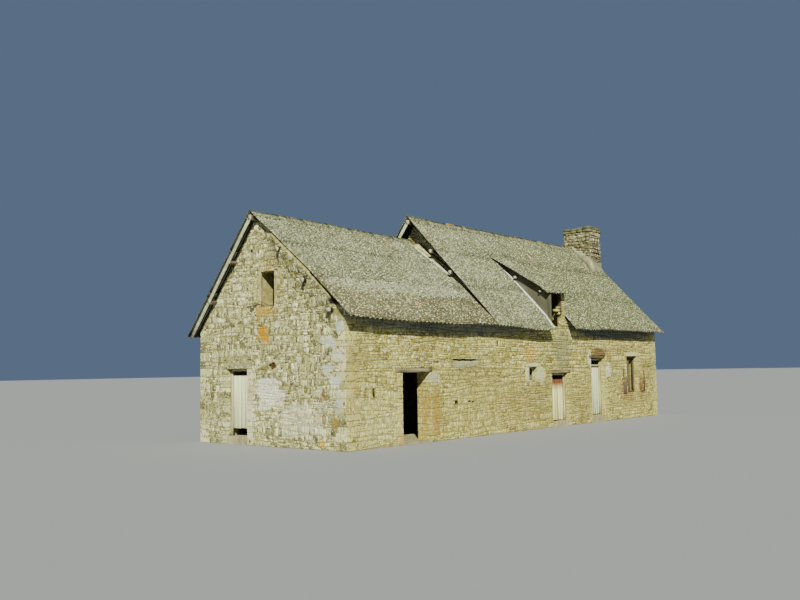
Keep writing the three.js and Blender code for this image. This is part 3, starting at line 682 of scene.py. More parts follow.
def bevelled(low, high, rng, round_off, jitter):
    """Places and faces of a box from one place to another, with worn arrises."""
    places = []
    for sides in BOX_CORNERS:
        corner = [(high if side else low)[i] + rng.uniform(-jitter, jitter) for i, side in enumerate(sides)]
        inward = [-round_off if side else round_off for side in sides]
        for axis in range(3):
            places.append(tuple(corner[i] + (0 if i == axis else inward[i]) for i in range(3)))

    def at(sides, axis):
        return ((sides[0] * 2 + sides[1]) * 2 + sides[2]) * 3 + axis

    def corner_of(axis, *sides):
        """The sides of a corner along X, Y and Z, from those along an axis and the next two."""
        return [sides[(i - axis) % 3] for i in range(3)]

    faces = []
    for axis in range(3):
        b, c = (axis + 1) % 3, (axis + 2) % 3
        for side in (0, 1):
            around = ((0, 0), (1, 0), (1, 1), (0, 1))
            faces.append(tuple(at(corner_of(axis, side, *step), axis) for step in around))
        for side_b, side_c in itertools.product((0, 1), repeat=2):
            start, end = corner_of(axis, 0, side_b, side_c), corner_of(axis, 1, side_b, side_c)
            faces.append((at(start, b), at(end, b), at(end, c), at(start, c)))
    faces += [tuple(at(sides, axis) for axis in range(3)) for sides in BOX_CORNERS]
    centre = Vector([(low[i] + high[i]) / 2 for i in range(3)])
    turned = []
    for face in faces:
        a, b, c = (Vector(places[i]) for i in face[:3])
        outward = (b - a).cross(c - a).dot((a + b + c) / 3 - centre)
        turned.append(face if outward > 0 else tuple(reversed(face)))
    return places, turned


# Place of a box's -Y side among the faces of a bevelled box, counted from the last one
FRONT_SIDE = 6 - 26


def block(heap, face, low, high, rng, tint, round_off=0.008, jitter=0.006, finish=0):
    """A dressed stone or a board on a wall face, from (u, v, w) to (u, v, w)."""
    places, faces = bevelled(low, high, rng, round_off, jitter)
    face.add(heap, places, faces, tint, finish)


def solid_block(heap, low, high, rng, tint, round_off, jitter, finish=0):
    """A worn box from one (x, y, z) to another."""
    places, faces = bevelled(low, high, rng, round_off, jitter)
    heap.add(places, faces, tint, finish)


def under_line(line, drop):
    """Limits (a, b, c) that keep outlines under a convex roof line, lowered by a drop square to it."""
    limits = []
    for (y0, z0), (y1, z1) in zip(line, line[1:]):
        dy, dz = y1 - y0, z1 - z0
        long = math.hypot(dy, dz)
        limits.append((-dz / long, dy / long, (-dz * y0 + dy * z0) / long - drop))
    return limits


def lintel_hole(node):
    """The place of a lintel on a face along X."""
    low, high = span(node)
    return (low.x, high.x, low.z, high.z)


# Small holes where stones are missing or purlins come through: (low, high, low z, high z) along each wall
FRONT_HOLES = [
    (0.99, 1.09, 1.26, 1.56), (3.96, 4.02, 1.02, 1.08), (4.54, 4.70, 0.98, 1.11), (5.20, 5.33, 1.035, 1.085),
    (5.37, 5.50, 1.02, 1.06), (4.35, 5.80, 2.27, 2.32),
]
GABLE_HOLES = [(2.72, 2.82, 2.17, 2.29), (2.85, 2.98, 2.08, 2.24), (3.64, 3.72, 5.43, 5.51)]
GABLE_PURLIN_HOLES = [(1.35, 1.48, 4.76, 4.90), (2.40, 2.53, 5.55, 5.72), (0.5, 0.64, 3.54, 3.69)]


def quoins(heap, x, y, into_x, into_y, top, rng, tints, finish=0):
    """Long and short blocks in turn up a corner. Returns their places along X and along Y, for the rubble."""
    along_x, along_y = [], []
    z, long_first = 0.0, rng.random() < 0.5
    stand = 0.012
    while z < top - 0.08:
        high = min(z + rng.uniform(0.14, 0.30), top)
        long, short = rng.uniform(0.36, 0.56), rng.uniform(0.2, 0.3)
        reach_x, reach_y = (long, short) if long_first else (short, long)
        x0, x1 = sorted((x - into_x * stand, x + into_x * reach_x))
        y0, y1 = sorted((y - into_y * stand, y + into_y * reach_y))
        solid_block(heap, (x0, y0, z), (x1, y1, high - 0.010), rng, rng.choice(tints), 0.008, 0.004, finish)
        if finish == 1 and into_y > 0:
            heap.finishes[FRONT_SIDE] = 0
        along_x.append((x0, x1, z, high))
        along_y.append((y0, y1, z, high))
        z, long_first = high, not long_first
    return along_x, along_y


def jambs(heap, face, opening, depth, rng, tints, finish=0):
    """Dressed blocks up both sides of an opening, as deep as its reveal. Returns their places."""
    u0, u1, v0, v1 = opening
    places = []
    for side in (0, 1):
        v, long_first = v0, rng.random() < 0.5
        while v < v1 - 0.05:
            high = v + rng.uniform(0.10, 0.24)
            if high > v1 - 0.1:
                high = v1
            wide = rng.uniform(0.3, 0.42) if long_first else rng.uniform(0.16, 0.24)
            left, right = (u1 - 0.006, u1 + wide) if side else (u0 - wide, u0 + 0.006)
            block(heap, face, (left, v + 0.004, -depth), (right, high - 0.008, 0.012), rng, rng.choice(tints),
                  0.010, 0.006, finish)
            places.append((left, right, v, high))
            v, long_first = high, not long_first
    return places


PALE_TINTS = [0.3, 0.4, 0.48, 0.55, 0.62, 0.7]
MIXED_TINTS = [0.2, 0.35, 0.45, 0.55, 0.65]
REVEAL = 0.13
LIMEWASHED = (SMALL_WINDOW[1], 9.62, SMALL_WINDOW[2] - 0.02, SMALL_WINDOW[3] + 0.02)
WINDOW_JAMB = (8.38, SMALL_WINDOW[0], SMALL_WINDOW[2], SMALL_WINDOW[3])


def build_corners(rng):
    """Corner stones and the stones beside the openings. Returns the places that they take on each wall."""
    heap = Heap()
    near_x, near_y = quoins(heap, 0, 0, 1, 1, 3.6, rng, PALE_TINTS, 1)
    far_x, far_y = quoins(heap, 0, DEPTH, 1, -1, BACK_WALL_TOP, rng, PALE_TINTS, 1)
    right_x, right_y = quoins(heap, LENGTH, 0, -1, 1, HOUSE_WALL_TOP, rng, MIXED_TINTS)
    end_x, end_y = quoins(heap, LENGTH, DEPTH, -1, -1, BACK_WALL_TOP, rng, MIXED_TINTS, 2)
    front = near_x + right_x
    for opening, depth in ((BYRE_DOOR, WALL), (STABLE_DOOR, REVEAL), (HOUSE_DOOR, REVEAL),
                           (TALL_WINDOW, 0.14)):
        front += jambs(heap, FRONT, opening, depth, rng, MIXED_TINTS)
    gable = near_y + far_y + jambs(heap, GABLE, GABLE_DOOR, REVEAL, rng, PALE_TINTS, 1)
    back = far_x + end_x + jambs(heap, BACK, BACK_WINDOW, 0.3, rng, MIXED_TINTS, 2)
    u0, u1, v0, v1 = LIMEWASHED
    block(heap, FRONT, (u0 - 0.006, v0, -0.14), (u1, v1 - 0.03, 0.018), rng, 0.5)
    u0, u1, v0, v1 = WINDOW_JAMB
    block(heap, FRONT, (u0, v0, -0.14), (u1 + 0.006, v1 - 0.02, 0.016), rng, 0.5)
    finishes = [front_stone, gable_stone, back_stone]
    heap.piece("corner_and_jamb_stones", finishes, "dressed_stone", smooth=False)
    return front, gable, back, right_y + end_y


def build_front_stones(rng, corners):
    """Long thin courses under the eaves, small stones low on the byre and larger ones on the house."""
    lintels = [lintel_hole(f"{name}_lintel") for name in
               ("byre_door", "small_window", "stable_door", "house_door", "tall_window")]
    holes = [BYRE_DOOR, STABLE_DOOR, HOUSE_DOOR, TALL_WINDOW, SMALL_WINDOW, DORMER_GAP, LIMEWASHED,
             WINDOW_JAMB, *lintels, *corners, *FRONT_HOLES]
    ledge, upper_change, lower_change = 2.0, 7.6, 7.6 - 0.9
    upper = Heap()
    lay_rubble(upper, FRONT, (0, upper_change, ledge, BYRE_WALL_TOP), rng, holes=holes, row=0.105,
               length=0.18, split=0.8, proud=(0.004, 0.013), joint=0.010, wander=0.05)
    lay_rubble(upper, FRONT, (upper_change, LENGTH, ledge, HOUSE_WALL_TOP), rng, holes=holes, row=0.15,
               length=0.22, split=0.6, proud=(0.008, 0.022), joint=0.014)
    upper.piece("front_wall_upper_stones", [front_stone], "rubble_stone")
    lower = Heap()
    lay_rubble(lower, FRONT, (0, lower_change, 0, ledge), rng, holes=holes, row=0.085, length=0.11,
               split=0.25, proud=(0.003, 0.016), joint=0.011, missing=0.015, wander=0.06)
    lay_rubble(lower, FRONT, (lower_change, LENGTH, 0, ledge), rng, holes=holes, row=0.11, length=0.19,
               split=0.7, proud=(0.004, 0.018), joint=0.012, missing=0.015, wander=0.05)
    lower.piece("front_wall_lower_stones", [front_stone], "rubble_stone")


def flare(y, z):
    """How far the gable's face leans out under its front verge."""
    below = height_at(BYRE_LINE, y) - z
    ends = unit((y - 0.02) / 0.45) * unit((3.05 - y) / 0.6)
    return 0.225 * unit(1.12 - below / 0.95) ** 1.4 * ends


def build_flare():
    """The mortar behind the stones where the gable's face leans out."""
    across, up = 36, 8
    front, behind = [], []
    for i in range(across + 1):
        y = 0.03 + 3.21 * i / across
        for j in range(up + 1):
            z = height_at(BYRE_LINE, y) - SLAB - 0.03 - 1.0 * (1 - j / up)
            front.append((-0.003 - flare(y, z), y, z))
            behind.append((0.05, y, z))
    bed = Heap()
    closed_strip(bed, front, behind, up, across)
    bed.piece("gable_verge_mortar", [gable_mortar], "rubble_stone")


def build_gable_stones(rng, corners):
    low, high = span("gable_door_lintel")
    lintel = (low.y, high.y, low.z, high.z + 0.08)
    gable = Heap()
    lay_rubble(gable, GABLE, (0, DEPTH, 0, GABLE_TOP), rng, lines=under_line(BYRE_LINE, SLAB + 0.015),
               holes=[GABLE_DOOR, LOFT_HATCH, lintel, *corners, *GABLE_HOLES, *GABLE_PURLIN_HOLES],
               row=0.066, length=0.096, split=0.12, proud=(0.002, 0.016), joint=0.011, missing=0.02,
               wander=0.07)
    gable.points = [(x - flare(y, z), y, z) for x, y, z in gable.points]
    gable.piece("left_gable_stones", [gable_stone], "rubble_stone")


def build_unseen_stones(rng, back_corners, right_corners):
    """The back wall and the right gable, in the same rubble."""
    back = Heap()
    lay_rubble(back, BACK, (0, LENGTH, 0, BACK_WALL_TOP), rng, holes=[BACK_WINDOW, *back_corners],
               row=0.16, length=0.26, split=0.4, proud=(0.008, 0.026), joint=0.016)
    back.piece("back_wall_stones", [back_stone], "rubble_stone")
    right = Heap()
    lay_rubble(right, RIGHT, (0, DEPTH, 0, 7.1), rng, lines=under_line(HOUSE_LINE, SLAB + 0.015),
               holes=[*right_corners, (STACK_LOW.y, STACK_HIGH.y, 5.6, 9)],
               row=0.16, length=0.24, split=0.45, proud=(0.008, 0.026), joint=0.016)
    right.piece("right_gable_stones", [back_stone], "rubble_stone")


def build_crossing_stones(rng):
    """The cross gable's face over the byre's roof, on each side of the byre's ridge."""
    crossing = Heap()
    above_byre = [(-a, -b, -c - 0.03) for a, b, c in under_line(BYRE_LINE, 0.0)]
    ridge, foot, head = BYRE_RIDGE[0], 3.4, 7.1
    for limit, zone in ((above_byre[1], (0.6, ridge, foot, head)),
                        (above_byre[2], (ridge, DEPTH - 0.55, foot, head))):
        lay_rubble(crossing, CROSSING, zone, rng, lines=under_line(HOUSE_LINE, SLAB + 0.015) + [limit],
                   row=0.15, length=0.2, split=0.5, proud=(0.008, 0.024), joint=0.014)
    crossing.piece("cross_gable_stones", [crossing_stone_painted_shade], "rubble_stone")


def build_walls():
    rng = random.Random(11)
    front, gable, back, right = build_corners(rng)
    build_front_stones(rng, front)
    build_gable_stones(rng, gable)
    build_flare()
    build_unseen_stones(rng, back, right)
    build_crossing_stones(rng)
    dress(front_mortar, "front_wall_left_end", "front_wall_over_byre_door", "front_wall_middle",
          "front_wall_over_stable_door", "front_wall_between_doors", "front_wall_over_house_door",
          "front_wall_right_end", "cross_gable_wall", "dormer_pier")
    dress(gable_mortar, "left_gable_wall_front_side", "left_gable_wall_back_side", "left_gable_wall_upper")
    dress(back_mortar, "back_wall", "right_gable_wall")
    dress(chimney_mortar, "chimney_stack")


build_walls()


# Corrugated sheets

# Pitch and depth of the waves, height of their crests, thickness, points to a wave, waves that a sheet
# covers, and lap of one row over the next
PITCH = 0.177
WAVE = 0.048
CREST = 0.018
THICK = 0.008
STEPS = 8
COVER = 5
LAP = 0.15

# Lichen, dirt and ochre growth on the sheets and on the wings of the ridge caps
PALE_LICHEN = ((22.0, 3.0), 0.54, 0.60)
DARK_LICHEN = ((19.0, 3.0), 0.51, 0.58, 0.85, "#3f402e")
OCHRE = "#b8955a"

# Large patches on the sheets: centre, radii, raggedness, scale of the rags, strength and colour
SHEET_PATCHES = [
    # The first darkens the house's roof towards its right end and the third lightens a band under the byre's
    # kink.
    ((15.5, 0.0, 5.0), (6.0, 5.0, 4.0), 0.3, 1.2, 0.8, "#585b3d"),
    ((3.2, -0.1, 3.75), (4.6, 0.8, 0.6), 0.4, 1.6, 0.35, "#5f543c"),
    ((3.4, 0.72, 4.4), (3.9, 0.34, 0.34), 0.4, 1.6, 0.45, "#9fa28b"),
    ((18.5, -0.22, 3.52), (0.42, 0.3, 0.3), 1.0, 3.0, 0.6, "#a88346"),
]


def sheet_finish(name, stops, moss, dull):
    """Weathered fibre cement: lichen in fine spots, dark dirt in clouds, each sheet a little different."""
    shade = Shade(name, 0.92)
    base = shade.ramp(shade.noise(3.2, 6.0), stops)
    base = shade.over(base, shade.fade(shade.attribute("tint"), 0.3, 1.0), 0.35, "#cbc6ad", "MULTIPLY")
    base = shade.spots(base, (0.8, 5.0), 0.40, 0.66, dull, "#7b7458", "MULTIPLY")
    for centre, radii, ragged, scale, strength, code in SHEET_PATCHES:
        base = shade.over(base, shade.patch(centre, radii, ragged, scale), strength, code)
    base = shade.spots(base, *PALE_LICHEN, 0.75, "#cccdaf")
    base = shade.spots(base, *DARK_LICHEN)
    base = shade.spots(base, (5.5, 6.0), 0.63, 0.70, moss, OCHRE)
    shade.rough(30.0, 0.012, 5.0)
    shade.rough(90.0, 0.003, 2.0)
    return shade.finish(base)


def underside_painted_shade_finish():
    """Underside of the sheets: a much darker grey-green than their tops, as painted shade."""
    return layered("sheet_underside", 0.95, (5.0, 5.0),
                   [(0.3, "#25271e"), (0.6, "#3b3e31"), (0.75, "#4d5042")])


SHEET_TONES = [(0.3, "#585c43"), (0.5, "#767a60"), (0.7, "#979b7f")]
LOWER_TONES = [(0.3, "#4d4a32"), (0.5, "#68654a"), (0.7, "#8d8a6b")]

# How far the front eave hangs down, as (x, fall) points along it
EAVE_DIPS = [
    (-0.36, 0.0), (0.9, 0.02), (2.53, 0.058), (4.35, 0.062), (5.35, 0.02), (6.41, 0.036), (7.53, 0.075),
    (8.42, 0.108), (9.3, 0.116), (9.78, 0.118), (11.05, 0.037), (12.89, 0.02), (14.91, 0.0), (18.8, 0.0),
]


def droop(x, y, line):
    """How far the byre's roof has sunk towards the cross gable, and the eave beside the dormer."""
    fall = 0.0
    if line is BYRE_LINE:
        foot = BYRE_KINK[0] if y < BYRE_RIDGE[0] else SAG_BACK
        up_the_slope = unit((y - foot) / (BYRE_RIDGE[0] - foot))
        fall += RIDGE_DROOP * up_the_slope * max(0.0, (x - WALL) / (CROSS - WALL))
    if y < 0:
        fall += (y / FRONT_EAVE[0]) ** 1.5 * height_at(EAVE_DIPS, x)
    ripple = 0.008 * math.sin(1.7 * x + 2.0 * y) + 0.006 * math.sin(3.1 * x - 1.3 * y)
    return fall + ripple


class Slope:
    """One side of a roof: s runs up it from its foot, h stands square to it."""

    def __init__(self, foot, head, line):
        self.foot = foot
        self.line = line
        dy, dz = head[0] - foot[0], head[1] - foot[1]
        self.length = math.hypot(dy, dz)
        self.up = (dy / self.length, dz / self.length)
        self.side = 1 if dy > 0 else -1
        self.normal = (-self.up[1] * self.side, self.up[0] * self.side)

    def point(self, x, s, h):
        y = self.foot[0] + self.up[0] * s + self.normal[0] * h
        z = self.foot[1] + self.up[1] * s + self.normal[1] * h
        return (x, y, z - droop(x, self.foot[0] + self.up[0] * s, self.line))

    def along(self, y):
        """How far up the slope y is."""
        return (y - self.foot[0]) / self.up[0]


BYRE_FRONT_LOWER = Slope(FRONT_EAVE, BYRE_KINK, BYRE_LINE)
BYRE_FRONT_UPPER = Slope(BYRE_KINK, BYRE_RIDGE, BYRE_LINE)
BYRE_BACK = Slope(BACK_EAVE, BYRE_RIDGE, BYRE_LINE)
HOUSE_FRONT = Slope(FRONT_EAVE, HOUSE_RIDGE, HOUSE_LINE)
HOUSE_BACK = Slope(BACK_EAVE, HOUSE_RIDGE, HOUSE_LINE)
DORMER_SLOPE = Slope(*DORMER_LINE, HOUSE_LINE)


def wave(x):
    """Height of the corrugation at x over the middle of the solid sheets' top."""
    return CREST - WAVE / 2 * (1 - math.cos(math.tau * (x - VERGE_LEFT) / PITCH))


# Shortest and narrowest piece of a sheet that is laid, and length of its parts up the slope
SCRAP = 0.03
SPACING = 0.42


def lay_sheets(heap, slope, x0, x1, s0, s1, rows, rng, slip, finish):
    """Rows of overlapping corrugated sheets between x0 and x1, from s0 to s1 up the slope."""
    module = COVER * PITCH
    for row, following in zip(rows, rows[1:]):
        low, high = row, min(following + LAP, rows[-1])
        if high <= s0 or low >= s1:
            continue
        start = VERGE_LEFT + math.floor((x0 - VERGE_LEFT) / module) * COVER * PITCH
        while start < x1 - 0.02:
            left = max(start, x0)
            right = min(start + (COVER + 0.75) * PITCH, x1)
            start += module
            if right - left < SCRAP:
                continue
            slipped = rng.uniform(-slip, slip)
            foot = max(low + slipped, s0 + (slipped if low <= s0 else 0))
            head = min(high, s1)
            if head - foot < SCRAP:
                continue
            cant = rng.uniform(-0.003, 0.004)
            across = max(2, round((right - left) / PITCH * STEPS))
            up = max(2, round((head - foot) / SPACING))
            top, bottom = [], []
            for k in range(up + 1):
                s = foot + (head - foot) * k / up
                over_next = (THICK + 0.006) * (1 - (s - low) / (high - low))
                for i in range(across + 1):
                    x = left + (right - left) * i / across
                    lift = over_next + THICK * (1 - (x - left) / (right - left)) + cant
                    level = wave(x) + lift
                    top.append(slope.point(x, s, level))
                    bottom.append(slope.point(x, s, level - THICK))
            closed_strip(heap, top, bottom, across, up, slope.side < 0, rng.random(), finish, 2)


# How far the byre's sheets stop short of the cross gable, and how far its eave rows run under the house's
JOINT = 0.004
UNDER_HOUSE = VERGE_CROSS + 0.35


def build_sheets():
    rng = random.Random(23)
    finishes = [
        sheet_finish("sheet_weathered", SHEET_TONES, 0.25, 0.45),
        sheet_finish("sheet_weathered_brown", LOWER_TONES, 0.5, 0.6),
        underside_painted_shade_finish(),
    ]

    def cover(name, node, slope, count, runs, slip=0.012, finish=0, beyond=0.0):
        """Sheets in that many rows over one CAD slab, in runs of (x0, x1, foot, head) along it."""
        rows = [slope.length * i / count for i in range(count + 1)]
        rows[-1] += beyond
        heap = Heap()
        for x0, x1, s0, s1 in runs:
            lay_sheets(heap, slope, x0, x1, s0, s1, rows, rng, slip, finish)
        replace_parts(heap.piece(name, finishes, "corrugated_sheet"), node)

    top = math.inf
    byre_end = CROSS - JOINT
    eave_row = BYRE_BACK.length / 3
    cover("byre_front_lower_sheets", "byre_roof_front_lower", BYRE_FRONT_LOWER, 1,
          [(VERGE_LEFT, UNDER_HOUSE, 0, top)], finish=1, beyond=LAP)
    cover("byre_front_upper_sheets", "byre_roof_front_upper", BYRE_FRONT_UPPER, 2,
          [(VERGE_LEFT + 0.09, byre_end, 0, top)])
    cover("byre_back_sheets", "byre_roof_back", BYRE_BACK, 3,
          [(VERGE_LEFT, UNDER_HOUSE, 0, eave_row), (VERGE_LEFT, byre_end, eave_row - 0.02, top)])
    gap_left, gap_right = DORMER_GAP[:2]
    cover("house_front_left_sheets", "house_roof_front_left", HOUSE_FRONT, 3,
          [(VERGE_CROSS, gap_left, 0, top)])
    cover("house_over_dormer_sheets", "house_roof_over_dormer", HOUSE_FRONT, 3,
          [(gap_left, gap_right, HOUSE_FRONT.along(DORMER_HIGH.y), top)])
    cover("house_front_right_sheets", "house_roof_front_right", HOUSE_FRONT, 3,
          [(gap_right, STACK_LOW.x, 0, top), (STACK_LOW.x, VERGE_RIGHT, 0, HOUSE_FRONT.along(STACK_LOW.y))])
    cover("house_back_sheets", "house_roof_back", HOUSE_BACK, 3,
          [(VERGE_CROSS, STACK_LOW.x, 0, top), (STACK_LOW.x, VERGE_RIGHT, 0, HOUSE_BACK.along(STACK_HIGH.y))])
    cover("dormer_sheets", "dormer_roof", DORMER_SLOPE, 2, [(DORMER_LOW.x, DORMER_HIGH.x, 0, top)],
          slip=0.006)


build_sheets()


# Ridge caps: a roll with a flat wing on each slope, in short lengths that overlap

CAP_WING = 0.21
ROLL = 0.034
CAP_THICK = 0.009

# Half a cap's section, from the wing's edge inwards: (distance from the ridge, height over the slope)
WING_POINTS = [(CAP_WING + 0.012, -0.030), (CAP_WING, 0.022), (0.14, 0.032), (0.055, 0.034)]


def wing_finish():
    """The caps' flat wings are overgrown like the sheets under them."""
    return layered("ridge_cap_wing", 0.92, (6.0, 6.0), [(0.3, "#585940"), (0.5, "#74755a"), (0.7, "#949579")],
                   [(*PALE_LICHEN, 0.7, "#cccdaf"), DARK_LICHEN, ((5.5, 6.0), 0.60, 0.66, 0.5, OCHRE)],
                   [(26.0, 0.03, 5.0)])


def roll_finish():
    """The roll on top is dark green, with gold lichen in places."""
    return layered("ridge_cap_roll", 0.92, (6.0, 6.0), [(0.3, "#2c3023"), (0.5, "#434836"), (0.7, "#626650")],
                   [((3.0, 6.0), 0.58, 0.63, 0.85, "#a9842f"), ((17.0, 3.0), 0.53, 0.60, 0.7, "#1f231b")],
                   [(20.0, 0.03, 5.0)])


ridge_cap = [wing_finish(), roll_finish()]


def ridge_profile(front, back, ridge):
    """(y, z) points over a ridge, from the front wing's edge over the roll to the back wing's edge."""
    def wing(slope, points):
        return [(ridge[0] - slope.up[0] * distance + slope.normal[0] * level,
                 ridge[1] - slope.up[1] * distance + slope.normal[1] * level) for distance, level in points]

    turns = [math.pi * (1.12 - 1.24 * k / 8) for k in range(1, 8)]
    roll = [(ridge[0] + ROLL * math.cos(turn), ridge[1] + 0.004 + ROLL * math.sin(turn) * 1.15)
            for turn in turns]
    return wing(front, WING_POINTS) + roll + wing(back, WING_POINTS[::-1])


def lay_ridge(heap, front, back, ridge, line, x0, x1, rng):
    """Caps about one metre long from x0 to x1."""
    profile = ridge_profile(front, back, ridge)
    caps = max(1, round(x1 - x0))
    for n in range(caps):
        left = x0 + (x1 - x0) * n / caps
        right = min(x0 + (x1 - x0) * (n + 1) / caps + 0.05, x1)
        turn, rise = rng.uniform(-0.02, 0.02), rng.uniform(-0.004, 0.006)
        tint = rng.random()
        for part, finish in ((profile[:4], 0), (profile[3:12], 1), (profile[11:], 0)):
            top, bottom = [], []
            for y, z in part:
                for i in range(5):
                    x = left + (right - left) * i / 4
                    lift = rise + 0.008 * (1 - i / 4) + turn * (y - ridge[0])
                    fall = droop(x, ridge[0], line)
                    top.append((x, y, z + lift - fall))
                    bottom.append((x, y, z + lift - fall - CAP_THICK))
            closed_strip(heap, top, bottom, 4, len(part) - 1, False, tint, finish, finish)


def build_ridges():
    rng = random.Random(31)
    byre = Heap()
    lay_ridge(byre, BYRE_FRONT_UPPER, BYRE_BACK, BYRE_RIDGE, BYRE_LINE, VERGE_LEFT, CROSS - JOINT, rng)
    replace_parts(byre.piece("byre_ridge_tiles", ridge_cap, "corrugated_sheet"), "byre_ridge_cap")
    house = Heap()
    lay_ridge(house, HOUSE_FRONT, HOUSE_BACK, HOUSE_RIDGE, HOUSE_LINE, VERGE_CROSS, STACK_LOW.x - JOINT, rng)
    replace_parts(house.piece("house_ridge_tiles", ridge_cap, "corrugated_sheet"), "house_ridge_cap")


build_ridges()


# Timbers

def beam(heap, start, end, width, depth, rng, up=(0, 0, 1), wobble=0.008, steps=6, finish=0, end_finish=0):
    """A roughly squared timber between two points, a little crooked, with worn arrises."""
    start, end, up = Vector(start), Vector(end), Vector(up)
    axis = (end - start).normalized()
    across = axis.cross(up).normalized()
    over = across.cross(axis)
    w, d = width / 2, depth / 2
    c = min(w, d) * 0.3
    ring = [(w - c, d), (w, d - c), (w, c - d), (w - c, -d),
            (c - w, -d), (-w, c - d), (-w, d - c), (c - w, d)]
    points = []
    for k in range(steps + 1):
        centre = start.lerp(end, k / steps)
        if 0 < k < steps:
            centre += across * rng.uniform(-wobble, wobble) + over * rng.uniform(-wobble, wobble)
        for a, b in ring:
            swell = 1 + rng.uniform(-0.05, 0.03)
            points.append(tuple(centre + across * a * swell + over * b * swell))
    faces = [tuple(reversed(range(8))), tuple(range(8 * steps, 8 * steps + 8))]
    for k in range(steps):
        faces += band(8 * k, 8 * k + 8, 8)
    heap.add(points, faces, 0.5, [end_finish] * 2 + [finish] * (len(faces) - 2))


PURLIN = (0.128, 0.13)
BYRE_PURLINS = [1.35, 2.40]
BYRE_BACK_PURLINS = [5.48, 4.56]
HOUSE_PURLINS = [1.18, 2.32]
HOUSE_BACK_PURLINS = [5.30, 4.20]
BYRE_TRUSS = 3.475
HOUSE_TRUSSES = [9.375, 13.775]
BYRE_COLLAR = 5.05
HOUSE_COLLAR = 5.35
RIDGE_BEAM = (0.14, 0.15)

# The byre's wall plate, and the end beside it that sticks out of the gable with painted shade on its sides, as
# (y, z) of their axes
WALL_PLATE = (0.57, 3.617)
PLATE_END = (0.42, 3.60)

# Purlin ends in the left gable, near black on their sides as painted shade, as (y, drop), and pale ones over
# the cross gable, as (y, z)
GABLE_PURLIN_ENDS = [(2.114, 0.109), (1.049, 0.212)]
CROSS_PURLIN_ENDS = [(2.233, 5.916), (1.444, 5.147)]


def under_sheets(slope, x, y, depth):
    """A point on the axis of a timber of that depth that lies under the sheets at y."""
    return Vector(slope.point(x, slope.along(y), -SLAB - 0.004 - depth / 2))


def lay_purlin(heap, slope, y, x0, x1, rng, drop=0.0, finish=0):
    """A purlin under the sheets, or lower by the drop, with its lower edge at y."""
    width, depth = PURLIN
    y += width / 2 * slope.side
    start, end = [under_sheets(slope, x, y, depth + 2 * drop) for x in (x0, x1)]
    beam(heap, start, end, width, depth, rng, (0, *slope.normal), 0.006, 10, finish, 1)


def raise_truss(heap, front, back, ridge, x, collar, floor, rng):
    """Two principals on posts, with a collar, under the purlins."""
    depth, drop = 0.18, 0.15
    foot_y = WALL + 0.09
    feet = [under_sheets(slope, x, y, depth) - Vector((0, 0, drop))
            for slope, y in ((front, foot_y), (back, DEPTH - foot_y))]
    top = Vector((x, ridge[0], feet[0].z + (ridge[0] - foot_y) * front.up[1] / front.up[0]))
    top.z = min(top.z, ridge[1] - 0.36 - droop(x, ridge[0], front.line))
    for foot in feet:
        beam(heap, foot, top, 0.14, depth, rng, steps=5)
        beam(heap, (x, foot.y, floor), (x, foot.y, foot.z), 0.14, 0.16, rng, up=(1, 0, 0), steps=3)
    share = (collar - feet[0].z) / (top.z - feet[0].z)
    beam(heap, feet[0].lerp(top, share), feet[1].lerp(top, share), 0.12, 0.17, rng, steps=4)


TIMBERS = [timber_x, pale_timber, painted_shade_timber]
PALE_ENDS = dict(finish=0, end_finish=1)


def build_byre_timbers(rng):
    """Purlins, ridge beam and wall plate, the ends that stick out of the gable with painted shade on their
    sides, and one truss.
    """
    start, end = VERGE_LEFT + 0.012, CROSS - 0.002
    byre = Heap()
    for y in BYRE_PURLINS:
        lay_purlin(byre, BYRE_FRONT_LOWER if y < BYRE_KINK[0] else BYRE_FRONT_UPPER, y, 0.03, end, rng)
    for y, drop in GABLE_PURLIN_ENDS:
        lay_purlin(byre, BYRE_FRONT_UPPER, y, start + 0.01, 0.3, rng, drop, 2)
    for y in BYRE_BACK_PURLINS:
        lay_purlin(byre, BYRE_BACK, y, start, end, rng)
    y, z = BYRE_RIDGE
    low, high = [(x, y, z - 0.165 - droop(x, y, BYRE_LINE)) for x in (start, end)]
    beam(byre, low, high, *RIDGE_BEAM, rng, wobble=0.006, steps=10, **PALE_ENDS)
    beam(byre, (0.03, *WALL_PLATE), (end, *WALL_PLATE), 0.14, 0.14, rng, wobble=0.004, steps=10, **PALE_ENDS)
    beam(byre, (-0.2, *PLATE_END), (0.3, *PLATE_END), 0.2, 0.1, rng, wobble=0.004, steps=4, finish=2,
         end_finish=1)
    loft = span("byre_loft_floor")[1].z
    raise_truss(byre, BYRE_FRONT_UPPER, BYRE_BACK, BYRE_RIDGE, BYRE_TRUSS, BYRE_COLLAR, loft, rng)
    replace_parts(byre.piece("byre_purlins_and_truss", TIMBERS, "old_timber"), "byre_roof_timbers")


